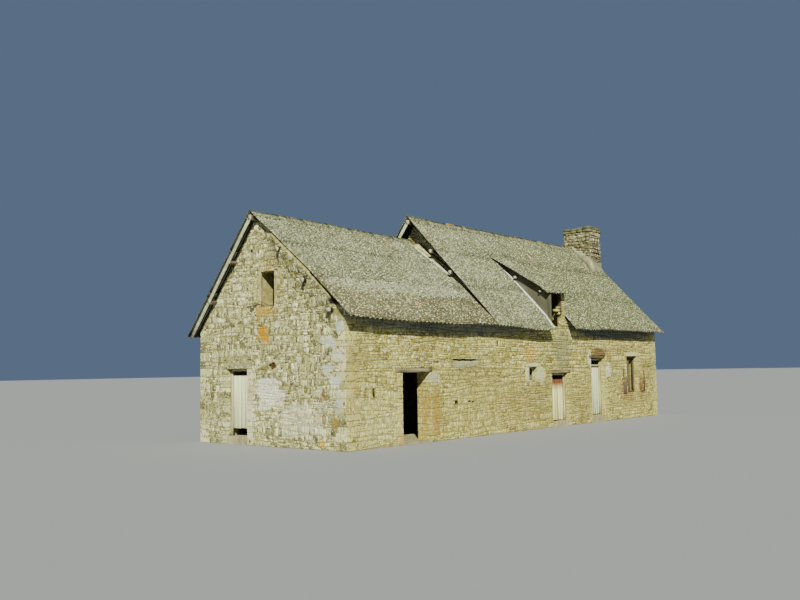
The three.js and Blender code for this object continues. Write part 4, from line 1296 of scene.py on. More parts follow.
def build_house_timbers(rng):
    """Purlins on both sides of the dormer, their ends over the cross gable, ridge beam and two trusses."""
    start, end = VERGE_CROSS + 0.012, LENGTH - WALL - 0.01
    house = Heap()
    for y, right_end in zip(HOUSE_PURLINS, (end, STACK_LOW.x - 0.01)):
        lay_purlin(house, HOUSE_FRONT, y, CROSS + 0.03, DORMER_GAP[0] - 0.002, rng)
        lay_purlin(house, HOUSE_FRONT, y, DORMER_GAP[1] + 0.002, right_end, rng)
    for y, z in CROSS_PURLIN_ENDS:
        beam(house, (start, y, z), (CROSS + 0.3, y, z), 0.12, 0.12, rng, wobble=0.004, steps=3, **PALE_ENDS)
    for y in HOUSE_BACK_PURLINS:
        lay_purlin(house, HOUSE_BACK, y, CROSS, end, rng)
    y, z = HOUSE_RIDGE[0], HOUSE_RIDGE[1] - 0.175
    beam(house, (start, y, z), (STACK_LOW.x - 0.002, y, z), *RIDGE_BEAM, rng, wobble=0.006, steps=12,
         **PALE_ENDS)
    loft = span("house_loft_floor")[1].z
    for x in HOUSE_TRUSSES:
        raise_truss(house, HOUSE_FRONT, HOUSE_BACK, HOUSE_RIDGE, x, HOUSE_COLLAR, loft, rng)
    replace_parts(house.piece("house_purlins_and_trusses", TIMBERS, "old_timber"), "house_roof_timbers")


def build_barge_boards(rng):
    """Boards under the two free verges of the back slopes."""
    barge = Heap()
    for slope, x, foot_y, ridge in ((BYRE_BACK, VERGE_LEFT, BACK_EAVE[0] - 0.03, BYRE_RIDGE),
                                    (HOUSE_BACK, VERGE_CROSS, BACK_EAVE[0] - 0.5, HOUSE_RIDGE)):
        low, high = [Vector(slope.point(x + 0.03, slope.along(y), -SLAB - 0.05))
                     for y in (foot_y, ridge[0] + 0.1)]
        beam(barge, low, high, 0.035, 0.11, rng, (0, *slope.normal), 0.004, 8)
    barge.piece("barge_boards", [pale_timber], "old_timber")


def build_timbers():
    rng = random.Random(41)
    build_byre_timbers(rng)
    build_house_timbers(rng)
    build_barge_boards(rng)
    dress(timber_y, "byre_loft_floor", "house_loft_floor")
    dress(floor_finish(), "byre_ground_floor", "house_ground_floor")


build_timbers()


# Lintels

def lay_timber_lintels(rng):
    """Each timber lintel is three old beams side by side. The house door's is darker."""
    timber = Heap()
    for door in ("byre_door", "stable_door", "house_door"):
        low, high = span(f"{door}_lintel")
        middle = (low.z + high.z) / 2
        deep = (high.y - low.y - 0.03) / 3
        for n in range(3):
            y = low.y + 0.004 + (deep + 0.012) * n + deep / 2 - (0.012 if n == 0 else 0)
            start, end = (low.x + rng.uniform(0, 0.05), y, middle), (high.x - rng.uniform(0, 0.05), y, middle)
            beam(timber, start, end, deep, high.z - low.z - 0.006, rng, wobble=0.006, steps=7,
                 finish=1 if door == "house_door" else 0)
    made = timber.piece("timber_lintels", [worn_lintel, timber_x], "old_timber")
    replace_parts(made, "byre_door_lintel", "stable_door_lintel", "house_door_lintel")


def lay_stone_lintels(rng):
    """Plain slabs over two windows, and a long stone with a bowed top over the gable's door."""
    stones = Heap()
    for node, tint in (("small_window_lintel", 0.35), ("tall_window_lintel", 0.4)):
        low, high = span(node)
        solid_block(stones, (low.x, low.y - 0.012, low.z), high, rng, tint, 0.01, 0.006)
    low, high = span("gable_door_lintel")
    steps = 10
    top = [(low.y + (high.y - low.y) * k / steps,
            high.z - 0.05 + 0.11 * math.sin(math.pi * k / steps) + rng.uniform(-0.008, 0.008))
           for k in range(steps + 1)]
    places = []
    for w, inset in ((-WALL, 0.0), (0.004, 0.0), (0.02, 0.018)):
        ring = [(y, z - inset) for y, z in top] + [(y, low.z + inset) for y, z in reversed(top)]
        places += [(min(max(y, low.y + inset), high.y - inset), z, w) for y, z in ring]
    n = 2 * (steps + 1)
    faces = [tuple(range(n)), tuple(reversed(range(2 * n, 3 * n)))]
    for level in (0, n):
        faces += [(level + (i + 1) % n, level + i, level + n + i, level + n + (i + 1) % n) for i in range(n)]
    GABLE.add(stones, places, faces, 0.6, 1)
    made = stones.piece("stone_lintels", [front_stone, gable_stone], "dressed_stone", smooth=False)
    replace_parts(made, "small_window_lintel", "tall_window_lintel", "gable_door_lintel")


def build_lintels():
    rng = random.Random(53)
    lay_timber_lintels(rng)
    lay_stone_lintels(rng)


build_lintels()


# Doors

def board_finish(name, stops, strip=None):
    """Painted boards, worn to the wood in streaks. The strip is (low z, high z, code) of rusty boards."""
    shade = Shade(name, 0.8)
    grain = (9.0, 9.0, 0.5)
    base = shade.ramp(shade.noise(1.0, 5.0, grain), stops)
    base = shade.over(base, shade.attribute("tint"), 0.35, "#a9a388", "MULTIPLY")
    base = shade.spots(base, (2.6, 5.0, grain), 0.52, 0.62, 0.35, "#9c937c")
    if strip:
        low, high, code = strip
        split = shade.node("ShaderNodeSeparateXYZ")
        shade.set(split.inputs[0], shade.place)
        ragged = shade.math("ADD", split.outputs["Z"], shade.math("MULTIPLY", shade.noise(5.0, 4.0), 0.12))
        base = shade.mix(shade.fade(ragged, low, high), base, code)
    shade.rough(3.0, 0.004, 5.0, grain)
    return shade.finish(base)


def iron_finish():
    return layered("rusted_iron", 0.75, (30.0, 5.0), [(0.3, "#2e211a"), (0.5, "#5a3a24"), (0.7, "#7d5230")],
                   bumps=[(60.0, 0.002)], metallic=0.4)


iron = iron_finish()
WHITE_PAINT = [(0.3, "#c6caa2"), (0.5, "#e2e7be"), (0.7, "#f1f5d0")]
CREAM_PAINT = [(0.3, "#c9c27f"), (0.5, "#e8e19e"), (0.7, "#f3eeb1")]
DARK_WOOD = [(0.3, "#3c2f22"), (0.5, "#5a4733"), (0.7, "#7c684c")]
white_boards = board_finish("boards_white", WHITE_PAINT)
cream_boards = board_finish("boards_cream", CREAM_PAINT, (1.27, 1.56, "#6f4425"))
dark_boards = board_finish("boards_dark", DARK_WOOD)

# Depths behind the wall's face of the frame's front, the leaf's front and the leaf's back; width of a post
REBATE = 0.20
LEAF_FACE = 0.206
LEAF_BACK = 0.246
FRAME_POST = 0.06

# The hinge: its axis beside the opening's edge, its pin, and the strap's eye round the pin
AXIS = 0.018
PIN_RADIUS = 0.0068
PIN_TALL = 0.058
EYE_RADII = (0.0135, 0.0085)
EYE_LOW = 0.0123
EYE_TALL = 0.04
STRAP_FOOT = 0.2
STRAP_HEAD = 0.26


def circle(foot, radius, height, sides):
    """Points of a level ring round an upright axis on a wall face, over the axis's foot (u, v, w)."""
    u, v, w = foot
    turns = [-math.tau * k / sides for k in range(sides)]
    return [(u + radius * math.cos(turn), v + height, w + radius * math.sin(turn)) for turn in turns]


def pin(heap, face, foot, finish):
    """An upright pin with a slightly domed head, on a wall face's (u, v, w) place."""
    sides = 12
    places = []
    for v, scale in ((0.0, 1.0), (PIN_TALL * 0.94, 1.0), (PIN_TALL, 0.6)):
        places += circle(foot, PIN_RADIUS * scale, v, sides)
    ends = [tuple(reversed(range(sides))), tuple(range(2 * sides, 3 * sides))]
    face.add(heap, places, ends + band(0, sides, sides) + band(sides, 2 * sides, sides), 0.5, finish)


def ring_eye(heap, face, foot, finish):
    """The rolled end of a strap: an upright ring about the pin."""
    sides = 16
    outer, inner = EYE_RADII
    places, faces = [], []
    for level, (radius, v) in enumerate(((outer, 0.0), (outer, EYE_TALL), (inner, EYE_TALL), (inner, 0.0))):
        places += circle(foot, radius, v, sides)
        faces += band(level * sides, (level + 1) % 4 * sides, sides)
    face.add(heap, places, faces, 0.5, finish)


def nail(heap, face, place, finish):
    """A nail head on the front of a board."""
    u, v, w = place
    sides, radius, height = 6, 0.006, 0.0012
    turns = [math.tau * k / sides for k in range(sides)]
    places = [(u + reach * math.cos(turn), v + reach * math.sin(turn), w + rise)
              for reach, rise in ((radius, 0), (radius * 0.6, height)) for turn in turns]
    faces = [tuple(reversed(range(sides))), tuple(range(sides, 2 * sides))] + band(0, sides, sides)
    face.add(heap, places, faces, 0.5, finish)


def hang_frame(name, face, opening, side, straps, rng, crossbar):
    """Posts and head of a door's frame, with the arms and pins that carry its straps."""
    u0, u1, _, head = opening
    foot = span(f"{name}_frame")[0].z
    hinge, far = (u0, u1) if side > 0 else (u1, u0)
    half = FRAME_POST / 2
    depth = -(REBATE - half)
    heap = Heap()
    for u, turn in ((hinge, side), (far, -side)):
        start, end = face.point(u + turn * half, foot, depth), face.point(u + turn * half, head, depth)
        beam(heap, start, end, FRAME_POST, FRAME_POST, rng, face.along, 0.0, 5)
    for v in [head - half] + ([crossbar] if crossbar else []):
        start, end = face.point(u0 + half, v, depth), face.point(u1 - half, v, depth)
        beam(heap, start, end, FRAME_POST, FRAME_POST * 0.95, rng, wobble=0.0, steps=5)
    axis = hinge + side * AXIS
    for z in straps:
        left, right = axis - 0.008, axis + 0.007
        block(heap, face, (left, z, -LEAF_BACK - 0.008), (right, z + 0.012, -REBATE + 0.001),
              rng, 0.5, 0.002, 0.0, 1)
        pin(heap, face, (axis, z, -LEAF_BACK), 1)
    made = heap.piece(f"{name}_posts", [worn_post, iron], "old_timber")
    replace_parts(made, f"{name}_frame")


def hang_leaf(name, face, opening, side, straps, leaf, finish, rng):
    """Boards of one leaf, with its ledges, straps and nails. The side is 1 or -1, from the hinge along u."""
    u0, u1 = opening[:2]
    low, high = leaf
    lap, gap, board = 0.03, 0.0015, 0.165
    left, right = u0 + lap, u1 - lap
    count = round((right - left) / board)
    edges = [left + (right - left) * k / count for k in range(count + 1)]
    edges[1:-1] = [edge + rng.uniform(-0.012, 0.012) for edge in edges[1:-1]]
    heap = Heap()
    for a, b in zip(edges, edges[1:]):
        ragged = rng.uniform(0.0, 0.02)
        block(heap, face, (a + gap, low + ragged, -LEAF_BACK + 0.006),
              (b - gap, high - rng.uniform(0, 0.006), -LEAF_FACE - 0.001), rng, rng.random(), 0.003, 0.0)
    hinge = u0 if side > 0 else u1
    axis = hinge + side * AXIS
    strap_u = sorted((axis + side * 0.0138, hinge + side * 0.42))
    for z in straps:
        block(heap, face, (left + 0.06, z - 0.04, -LEAF_BACK - 0.024),
              (right - 0.06, z + 0.06, -LEAF_BACK + 0.008), rng, 0.4, 0.004, 0.001)
        block(heap, face, (strap_u[0], z + 0.016, -LEAF_BACK - 0.03),
              (strap_u[1], z + 0.046, -LEAF_BACK - 0.0235), rng, 0.5, 0.002, 0.0, 1)
        ring_eye(heap, face, (axis, z + EYE_LOW, -LEAF_BACK), 1)
        for a, b in zip(edges, edges[1:]):
            u, v = (a + b) / 2 + rng.uniform(-0.02, 0.02), z + 0.01 + rng.uniform(-0.02, 0.02)
            nail(heap, face, (u, v, -LEAF_FACE - 0.0012), 1)
    made = heap.piece(f"{name}_boards", [finish, iron], "door_boards", body=name)
    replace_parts(made, f"{name}_leaf")


def build_doors():
    rng = random.Random(61)
    for name, face, opening, side, leaf, finish, crossbar in (
            ("stable_door", FRONT, STABLE_DOOR, 1, (0.20, 1.62), cream_boards, None),
            ("house_door", FRONT, HOUSE_DOOR, 1, (0.27, 2.04), white_boards, 2.08),
            ("gable_door", GABLE, GABLE_DOOR, -1, (0.43, 1.96), white_boards, None)):
        straps = [leaf[0] + STRAP_FOOT, leaf[1] - STRAP_HEAD]
        hang_frame(name, face, opening, side, straps, rng, crossbar)
        hang_leaf(name, face, opening, side, straps, leaf, finish, rng)


build_doors()


# Windows

def window_bars(node, bar, middle, deep, ends, wobbles, steps, rng):
    """Three uprights and two rails in a window's frame, each upright with its middle at a given depth."""
    heap = Heap()
    low, high = span(node)
    for x in (low.x + bar / 2, middle, high.x - bar / 2):
        beam(heap, (x, deep, low.z), (x, deep, high.z), bar, 0.058, rng, (1, 0, 0), wobbles[0], steps[0])
    for z in (low.z + bar / 2, high.z - bar / 2):
        beam(heap, (low.x + ends, deep, z), (high.x - ends, deep, z), 0.056, bar, rng, wobble=wobbles[1],
             steps=steps[1])
    return heap


# Thickness of the bars and place of the middle upright in the small and the tall window's frame
SMALL_BAR = 0.045
SMALL_MIDDLE = 8.85
TALL_BAR = 0.07
TALL_MIDDLE = 16.24

# What is left of the shutters beside the tall window, as (x0, x1, z0, z1) on the front wall
SHUTTER_BOARDS = [
    (15.40, 15.50, 0.98, 1.42), (15.52, 15.64, 0.95, 1.62), (15.38, 15.46, 1.60, 1.92),
    (17.17, 17.22, 1.05, 1.86), (16.88, 17.24, 1.02, 1.07), (16.86, 16.93, 1.10, 1.40),
]


def build_windows():
    rng = random.Random(67)
    low, high = span("small_window_frame")
    deep = (low.y + high.y) / 2
    small = window_bars("small_window_frame", SMALL_BAR, SMALL_MIDDLE, deep, 0.02, (0.003, 0.002), (4, 4),
                        rng)
    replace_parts(small.piece("small_window_bars", [pale_timber], "old_timber"), "small_window_frame")

    tall = window_bars("tall_window_frame", TALL_BAR, TALL_MIDDLE, deep, 0.03, (0.006, 0.004), (7, 5), rng)
    low, high = span("tall_window_frame")
    left = low.x + TALL_BAR + 0.015
    head = low.z + (high.z - low.z) - TALL_BAR
    for x, wide, foot in ((left, 0.19, 0.12), (left + 0.2, 0.17, 0.28)):
        block(tall, FRONT, (x, low.z + foot, -deep - 0.012), (x + wide, head, -deep + 0.012),
              rng, rng.random(), 0.004, 0.004, 1)
    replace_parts(tall.piece("tall_window_remains", [timber_z, dark_boards], "old_timber"), "tall_window_frame")

    remains = Heap()
    for x0, x1, z0, z1 in SHUTTER_BOARDS:
        block(remains, FRONT, (x0, z0, -0.004), (x1, z1, 0.04), rng, rng.random(), 0.006, 0.01)
    remains.piece("shutter_remains", [dark_boards], "old_timber")


build_windows()


# Dormer: cheeks, their corner strip and flashings, purlin ends and the broken pier

def flat_sheet_finish():
    """Flat grey sheet with faint streaks down it."""
    return layered("cheek_sheet", 0.85, (2.2, 5.0, (1.0, 1.0, 0.35)),
                   [(0.3, "#434233"), (0.5, "#565544"), (0.72, "#6d6c59")],
                   [((3.0, 4.0, (5.0, 5.0, 0.3)), 0.5, 0.62, 0.35, "#454436")], [(22.0, 0.003)])


def zinc_finish():
    return layered("zinc_flashing", 0.5, (9.0, 5.0), [(0.3, "#c9cccc"), (0.55, "#eceeed"), (0.75, "#fbfbf9")],
                   bumps=[(14.0, 0.004)], metallic=0.35)


def cement_finish():
    return layered("cement_fillet", 0.93, (4.0, 6.0), [(0.3, "#6b6a52"), (0.5, "#858468"), (0.7, "#a0a084")],
                   bumps=[(24.0, 0.012, 5.0)])


def fillet_finish(name, stops):
    """Mortar laid along the cross gable."""
    return layered(name, 0.9, (12.0, 5.0), stops, bumps=[(24.0, 0.01, 4.0)])


pale_fillet = fillet_finish("pale_fillet", [(0.3, "#8d917f"), (0.5, "#b4b8a5"), (0.7, "#d6dac8")])
golden_fillet = fillet_finish("golden_fillet", [(0.3, "#8e8551"), (0.5, "#b0a66c"), (0.7, "#cfc68e")])
cheek_sheet = flat_sheet_finish()
cement = cement_finish()
CHEEK_LOW = span("dormer_left_cheek")[0]
CHEEK = CHEEK_LOW.x

# Purlin ends that show over the left cheek, as (y, z, thickness)
CHEEK_PURLIN_ENDS = [(1.142, 5.20, 0.085), (0.145, 4.64, 0.055), (1.95, 5.78, 0.085)]

# Top of the broken pier, and its stepped left edge as (reach to the left, low z, high z)
PIER_TOP = 4.56
PIER_STEPS = [(0.10, 4.07, 4.17), (0.30, 3.96, 4.07), (0.12, 3.87, 3.96)]


def build_dormer_trim(rng):
    """The strip up the left cheek's corner and the purlin ends that show over the cheek."""
    trim = Heap()
    strip_foot = height_at(HOUSE_LINE, CHEEK_LOW.y) - 0.02
    strip_head = height_at(DORMER_LINE, CHEEK_LOW.y + 0.05) - 0.09
    block(trim, FRONT, (CHEEK - 0.012, strip_foot, -CHEEK_LOW.y - 0.11),
          (CHEEK + 0.05, strip_head, -CHEEK_LOW.y + 0.012), rng, 0.9, 0.004, 0.003)
    for y, z, thick in CHEEK_PURLIN_ENDS:
        beam(trim, (DORMER_LOW.x + 0.09, y, z), (CHEEK + 0.3, y, z), thick, thick, rng, wobble=0.002, steps=3,
             finish=1, end_finish=1)
    trim.piece("dormer_trim", [cheek_sheet, pale_timber], "flat_sheet")


def build_flashings(rng):
    """A zinc strip down the left cheek's whole foot, and a short one at the right of the dormer's eave."""
    flashing = Heap()
    count = 14
    for edge, reach, start, length, lift in (
            (CHEEK - 0.002, -0.075, FRONT_EAVE[0] + 0.04, DORMER_HIGH.y - FRONT_EAVE[0] - 0.1, 0.012),
            (DORMER_HIGH.x + 0.004, 0.09, -0.20, 0.32, 0.065)):
        inner, outer = [], []
        for k in range(count + 1):
            y = start + length * k / count
            z = HOUSE_FRONT.point(edge, HOUSE_FRONT.along(y), lift)[2]
            inner.append((edge, y, z + 0.035 + rng.uniform(-0.003, 0.003)))
            outer.append((edge + reach, y, z + rng.uniform(-0.004, 0.004)))
        ribbon(flashing, inner, outer, 0.004)
    flashing.piece("dormer_flashings", [zinc_finish()], "flat_sheet")


def build_cross_gable_fillet(rng):
    """Golden mortar against the cross gable, and a pale strip below it that narrows at both ends."""
    fillet = Heap()
    wall, inner, outer = [], [], []
    count = 24
    for k in range(count + 1):
        y = 0.85 + 2.2 * k / count
        z = BYRE_FRONT_UPPER.point(CROSS, BYRE_FRONT_UPPER.along(y), 0.05)[2]
        middle = CROSS - 0.20 - 0.11 * max(0.0, (y - 1.64) / 1.13)
        width = 0.085 * min(unit((y - 1.45) / 0.2), unit((2.95 - y) / 0.15))
        wall.append((CROSS - 0.01, y, z + 0.15 + rng.uniform(-0.012, 0.012)))
        inner.append((middle + width - 0.005, y, z + 0.035 + rng.uniform(-0.008, 0.008)))
        outer.append((middle - width - 0.01 - rng.uniform(0.0, 0.02), y, z + rng.uniform(-0.006, 0.006)))
    ribbon(fillet, wall, inner, 0.02, 0)
    ribbon(fillet, inner, outer, 0.02, 1)
    fillet.piece("cross_gable_fillet", [golden_fillet, pale_fillet], "rubble_stone")


def build_pier(rng):
    """Rubble on the dormer's broken pier, the steps of its left edge and the wall's edge beside it."""
    pier = Heap()
    look = dict(row=0.12, length=0.13, split=0.4, proud=(0.004, 0.016), joint=0.012)
    lay_rubble(pier, FRONT, (PIER_LOW.x, PIER_HIGH.x, PIER_LOW.z, PIER_TOP), rng, **look)
    for x, out in ((PIER_LOW.x, -1), (PIER_HIGH.x, 1)):
        side = Face((x, 0, 0), (0, 1, 0), (out, 0, 0))
        lay_rubble(pier, side, (0, PIER_HIGH.y, PIER_LOW.z, PIER_TOP), rng, **look)
    for reach, z0, z1 in PIER_STEPS:
        solid_block(pier, (PIER_LOW.x - reach, -0.01, z0), (PIER_LOW.x + 0.1, PIER_HIGH.y, z1 - 0.01), rng,
                    rng.uniform(0.5, 0.9), 0.02, 0.01)
    lay_rubble(pier, FRONT, (DORMER_GAP[0], PIER_LOW.x, PIER_LOW.z - 0.09, PIER_LOW.z - 0.002), rng, **look)
    pier.piece("dormer_pier_stones", [front_stone], "rubble_stone")


def build_dormer():
    rng = random.Random(71)
    dress(cheek_sheet, "dormer_left_cheek", "dormer_right_cheek")
    build_dormer_trim(rng)
    build_flashings(rng)
    build_cross_gable_fillet(rng)
    build_pier(rng)


build_dormer()


# Chimney: rubble on four sides, a cement skirt on the roof and a cap of rough slabs

def mossy_finish():
    """Rough slabs under dry moss and gold lichen."""
    return layered("mossy_slabs", 0.95, None, [(0.0, "#5b563f"), (0.5, "#78755b"), (1.0, "#8f8f7b")],
                   [((5.0, 5.0), 0.44, 0.56, 0.75, "#504f29"), ((9.0, 5.0), 0.56, 0.64, 0.5, "#8a7936")],
                   [(30.0, 0.02, 5.0)])


def build_stack(rng):
    """Rubble on the stack's four sides, flatter on the right side, which the gable's stones meet."""
    stack = Heap()
    look = dict(row=0.15, length=0.21, split=0.35, joint=0.024, missing=0.03)
    across, deep = (STACK_LOW.x, STACK_HIGH.x), (STACK_LOW.y, STACK_HIGH.y)
    for corner, along, out, width, foot, proud in (
            ((STACK_LOW.x, 0, 0), (0, 1, 0), (-1, 0, 0), deep, 6.1, (0.012, 0.045)),
            ((0, STACK_LOW.y, 0), (1, 0, 0), (0, -1, 0), across, 6.1, (0.012, 0.045)),
            ((0, STACK_HIGH.y, 0), (1, 0, 0), (0, 1, 0), across, 6.3, (0.012, 0.045)),
            ((STACK_HIGH.x, 0, 0), (0, 1, 0), (1, 0, 0), deep, 5.6, (0.008, 0.03))):
        lay_rubble(stack, Face(corner, along, out), (*width, foot, CAP_LOW.z), rng, proud=proud, **look)
    stack.piece("chimney_stones", [chimney_stone], "rubble_stone")


def build_skirt(rng):
    """Cement from the roof up to the stack: down its left side, round the corner and along its front."""
    foot, crest = [], []
    left, front = STACK_LOW.x, STACK_LOW.y
    beside_stack, before_stack = left - 0.012, front - 0.02
    out, sunk, count = 0.13, 0.05, 6
    for k in range(count + 1):
        y = HOUSE_RIDGE[0] + (front - HOUSE_RIDGE[0]) * k / count
        rise = 0.12 + 0.33 * math.sin(math.pi / 2 * k / count)
        foot.append((left - out, y, height_at(HOUSE_LINE, y) - sunk))
        crest.append((beside_stack, y, height_at(HOUSE_LINE, y) + rise))
    corner = front - 0.2
    foot.append((left - out, corner, height_at(HOUSE_LINE, corner) - sunk))
    crest.append((beside_stack, before_stack, height_at(HOUSE_LINE, front) + 0.44))
    for k in range(count + 1):
        x = left + 0.03 + (VERGE_RIGHT - 0.05 - left) * k / count
        y = front - 0.26 + 0.012 * k
        foot.append((x, y, height_at(HOUSE_LINE, y) - sunk))
        crest.append((x, before_stack, height_at(HOUSE_LINE, front) + 0.42 - 0.055 * k))
    middle = []
    for (x0, y0, z0), (x1, y1, z1) in zip(foot, crest):
        x, y = (x0 + x1) / 2 + rng.uniform(-0.008, 0.008), (y0 + y1) / 2 + rng.uniform(-0.008, 0.008)
        middle.append((x, y, (z0 + z1) / 2 - 0.03 + rng.uniform(-0.008, 0.008)))
    inside = [(x + 0.1, y, z - 0.3) for x, y, z in crest[:count + 1]]
    inside += [(x + 0.05, y + 0.12, z - 0.3) for x, y, z in crest[count + 1:]]
    n = len(foot)
    faces = []
    for j in range(4):
        a, b = j * n, (j + 1) % 4 * n
        faces += [(a + i, a + i + 1, b + i + 1, b + i) for i in range(n - 1)]
    faces += [(3 * n, 2 * n, n, 0), (n - 1, 2 * n - 1, 3 * n - 1, 4 * n - 1)]
    skirt = Heap()
    skirt.add(foot + middle + crest + inside, faces)
    skirt.piece("chimney_skirt", [cement], "rubble_stone")


# The flue's opening in the cap, along X and along Y
FLUE_X = (17.74, 18.12)
FLUE_Y = (2.66, 3.27)


def build_cap(rng):
    """Two layers of rough slabs round the flue."""
    cap = Heap()
    middle = CAP_LOW.z + 0.10
    for low_z, high_z, lip, thin in ((CAP_LOW.z, middle, 0.0, 0.0), (middle, CAP_HIGH.z, 0.05, 0.06)):
        x0, x1, y0, y1 = CAP_LOW.x + lip, CAP_HIGH.x - lip, CAP_LOW.y + lip, CAP_HIGH.y - lip
        runs = [((x0, x1), (y0, FLUE_Y[0]), 0), ((x0, x1), (FLUE_Y[1], y1), 0),
                ((x0, FLUE_X[0]), FLUE_Y, 1), ((FLUE_X[1], x1), FLUE_Y, 1)]
        for across, deep, way in runs:
            start, end = (across, deep)[way]
            pieces = max(1, round((end - start) / 0.34))
            for k in range(pieces):
                slab = [across, deep]
                slab[way] = (start + (end - start) * (k / pieces), start + (end - start) * ((k + 1) / pieces))
                (left, right), (near, far) = slab
                low = (left + rng.uniform(0, 0.03), near + rng.uniform(0, 0.03), low_z)
                high = (right - 0.008, far - rng.uniform(0, 0.02), high_z - rng.uniform(0, thin))
                solid_block(cap, low, high, rng, rng.uniform(0.1, 0.6), 0.022, 0.012)
    made = cap.piece("chimney_cap_slabs", [mossy_finish()], "dressed_stone")
    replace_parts(made, "chimney_cap")


def build_chimney():
    rng = random.Random(83)
    build_stack(rng)
    build_skirt(rng)
    build_cap(rng)


build_chimney()


# Moss cushions on ridges and cap, sticks and a jamb at the hatch, and a mortar fillet

def moss_finish():
    stops = [(0.0, "#4c4a22"), (0.4, "#6f6a34"), (0.7, "#8d7f3c"), (1.0, "#b8913a")]
    return layered("moss_cushions", 1.0, None, stops, bumps=[(60.0, 0.01, 4.0)])


def cushion(heap, centre, size, rng):
    """A low lump of moss: a squashed, dented dome."""
    around, rings, squash = 9, 3, 0.55
    points = []
    for j in range(rings):
        lift = j / rings * math.pi / 2
        for k in range(around):
            turn = math.tau * k / around
            radius = size * math.cos(lift) * rng.uniform(0.8, 1.15)
            z = centre[2] + size * squash * math.sin(lift) - (size * 0.25 if j == 0 else 0)
            points.append((centre[0] + radius * math.cos(turn), centre[1] + radius * math.sin(turn), z))
    points.append((centre[0], centre[1], centre[2] + size * squash))
    last, crown = (rings - 1) * around, rings * around
    faces = [tuple(reversed(range(around)))]
    for j in range(rings - 1):
        faces += band(j * around, (j + 1) * around, around)
    faces += [(last + k, last + (k + 1) % around, crown) for k in range(around)]
    heap.add(points, faces, rng.random())


def build_moss(rng):
    """Cushions along both ridges, thicker towards the left, and all over the chimney's cap."""
    moss = Heap()
    for ridge, line, x0, x1, count in ((BYRE_RIDGE, BYRE_LINE, VERGE_LEFT, CROSS, 46),
                                       (HOUSE_RIDGE, HOUSE_LINE, VERGE_CROSS, STACK_LOW.x, 70)):
        for _ in range(count):
            x = x0 + (x1 - x0) * rng.random() ** 1.4
            y = ridge[0] + rng.gauss(0, 0.05)
            roll = 0.03 * math.exp(-((y - ridge[0]) / 0.05) ** 2)
            z = height_at(line, y) - droop(x, ridge[0], line) + roll
            cushion(moss, (x, y, z), rng.uniform(0.012, 0.035), rng)
    rim = 0.02
    for _ in range(60):
        x = rng.uniform(CAP_LOW.x + 0.05, CAP_HIGH.x - 0.05)
        y = rng.uniform(CAP_LOW.y + 0.05, CAP_HIGH.y - 0.05)
        if FLUE_X[0] - rim < x < FLUE_X[1] + rim and FLUE_Y[0] - rim < y < FLUE_Y[1] + rim:
            continue
        cushion(moss, (x, y, CAP_HIGH.z - 0.045), rng.uniform(0.02, 0.045), rng)
    moss.piece("moss_cushions", [moss_finish()], "moss")


def build_sticks(rng):
    """Two crooked sticks that hang from the hatch, and the post at its left edge."""
    sticks = Heap()
    for points in (((0.25, 2.95, 3.862), (-0.02, 3.33, 3.93), (-0.1, 3.81, 3.96)),
                   ((0.22, 3.05, 3.858), (-0.01, 3.34, 4.02), (-0.06, 3.52, 3.86), (-0.09, 3.68, 3.72))):
        for a, b in zip(points, points[1:]):
            beam(sticks, a, b, 0.022, 0.02, rng, wobble=0.004, steps=4)
    _, right, foot, head = LOFT_HATCH
    post_y = right - 0.03
    beam(sticks, (0.02, post_y, foot), (0.02, post_y, head), 0.05, 0.06, rng, (1, 0, 0), 0.006, 6, 1, 1)
    sticks.piece("hatch_sticks", [timber_z, worn_post], "old_timber")


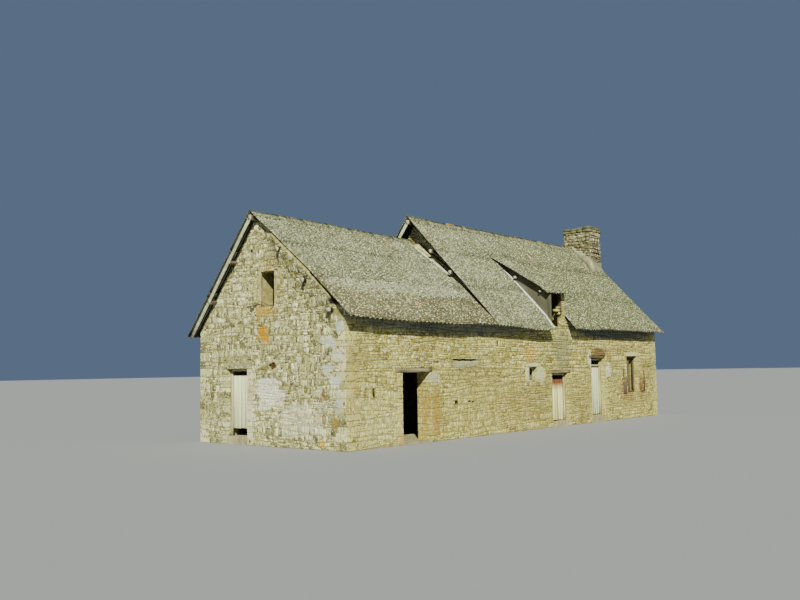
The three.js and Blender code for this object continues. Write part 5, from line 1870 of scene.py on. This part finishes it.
def build_roof_fillet(rng):
    """Cement where the byre's front slope meets the cross gable."""
    fillet = Heap()
    count = 16
    start, end = 0.5, BYRE_RIDGE[0] - 0.25
    foot, crest = [], []
    for k in range(count + 1):
        y = start + (end - start) * k / count
        z = height_at(BYRE_LINE, y) - droop(CROSS, y, BYRE_LINE)
        foot.append((CROSS - 0.12 + rng.uniform(-0.01, 0.01), y, z + 0.006))
        crest.append((CROSS - 0.016, y, z + 0.10 + rng.uniform(-0.015, 0.015)))
    ribbon(fillet, crest, foot, 0.03)
    fillet.piece("byre_roof_fillet", [cement], "rubble_stone")


def build_growth():
    rng = random.Random(97)
    build_moss(rng)
    build_sticks(rng)
    build_roof_fillet(rng)


build_growth()


# Floor, light and camera

def add_to_scene(name, data):
    """An object with that data, linked to the scene."""
    made = bpy.data.objects.new(name, data)
    bpy.context.scene.collection.objects.link(made)
    return made


def build_floor():
    reach = 400.0
    mesh = bpy.data.meshes.new("studio_floor")
    corners = [(-reach, -reach, 0), (reach, -reach, 0), (reach, reach, 0), (-reach, reach, 0)]
    mesh.from_pydata(corners, [], [(0, 1, 2, 3)])
    mesh.materials.append(Shade("studio_floor", 0.95).finish(colour("#909196")))
    floor = add_to_scene("studio_floor", mesh)
    floor.location.z = -0.002


def build_light():
    """A pale blue sky, and a low sun from the front left."""
    world = bpy.data.worlds.new("studio")
    bpy.context.scene.world = world
    world.use_nodes = True
    background = world.node_tree.nodes["Background"]
    background.inputs["Color"].default_value = colour("#a6c5ee")
    background.inputs["Strength"].default_value = 0.27

    key = bpy.data.lights.new("key", "SUN")
    key.energy = 7.9
    key.angle = math.radians(2.0)
    key.color = (0.99, 1.0, 0.81)
    travel = Vector((0.85, 0.80, -0.78))
    add_to_scene("key", key).rotation_euler = travel.to_track_quat("-Z", "Y").to_euler()


def build_camera():
    """The photograph's camera, fitted to the house's edges."""
    lens = bpy.data.cameras.new("camera")
    lens.sensor_width = 36.0
    lens.lens = 38.2536
    lens.clip_end = 500.0
    right = Vector((0.65312212, -0.75706612, -0.01680424))
    up = Vector((-0.05120912, -0.0662967, 0.99648501))
    forward = Vector((0.75551911, 0.64996587, 0.08206853))
    turn = Matrix((right, up, -forward)).transposed()
    camera = add_to_scene("camera", lens)
    camera.matrix_world = Matrix.Translation(NEAR + Vector((-15.438, -15.136, 2.028))) @ turn.to_4x4()
    bpy.context.scene.camera = camera


build_floor()
build_light()
build_camera()
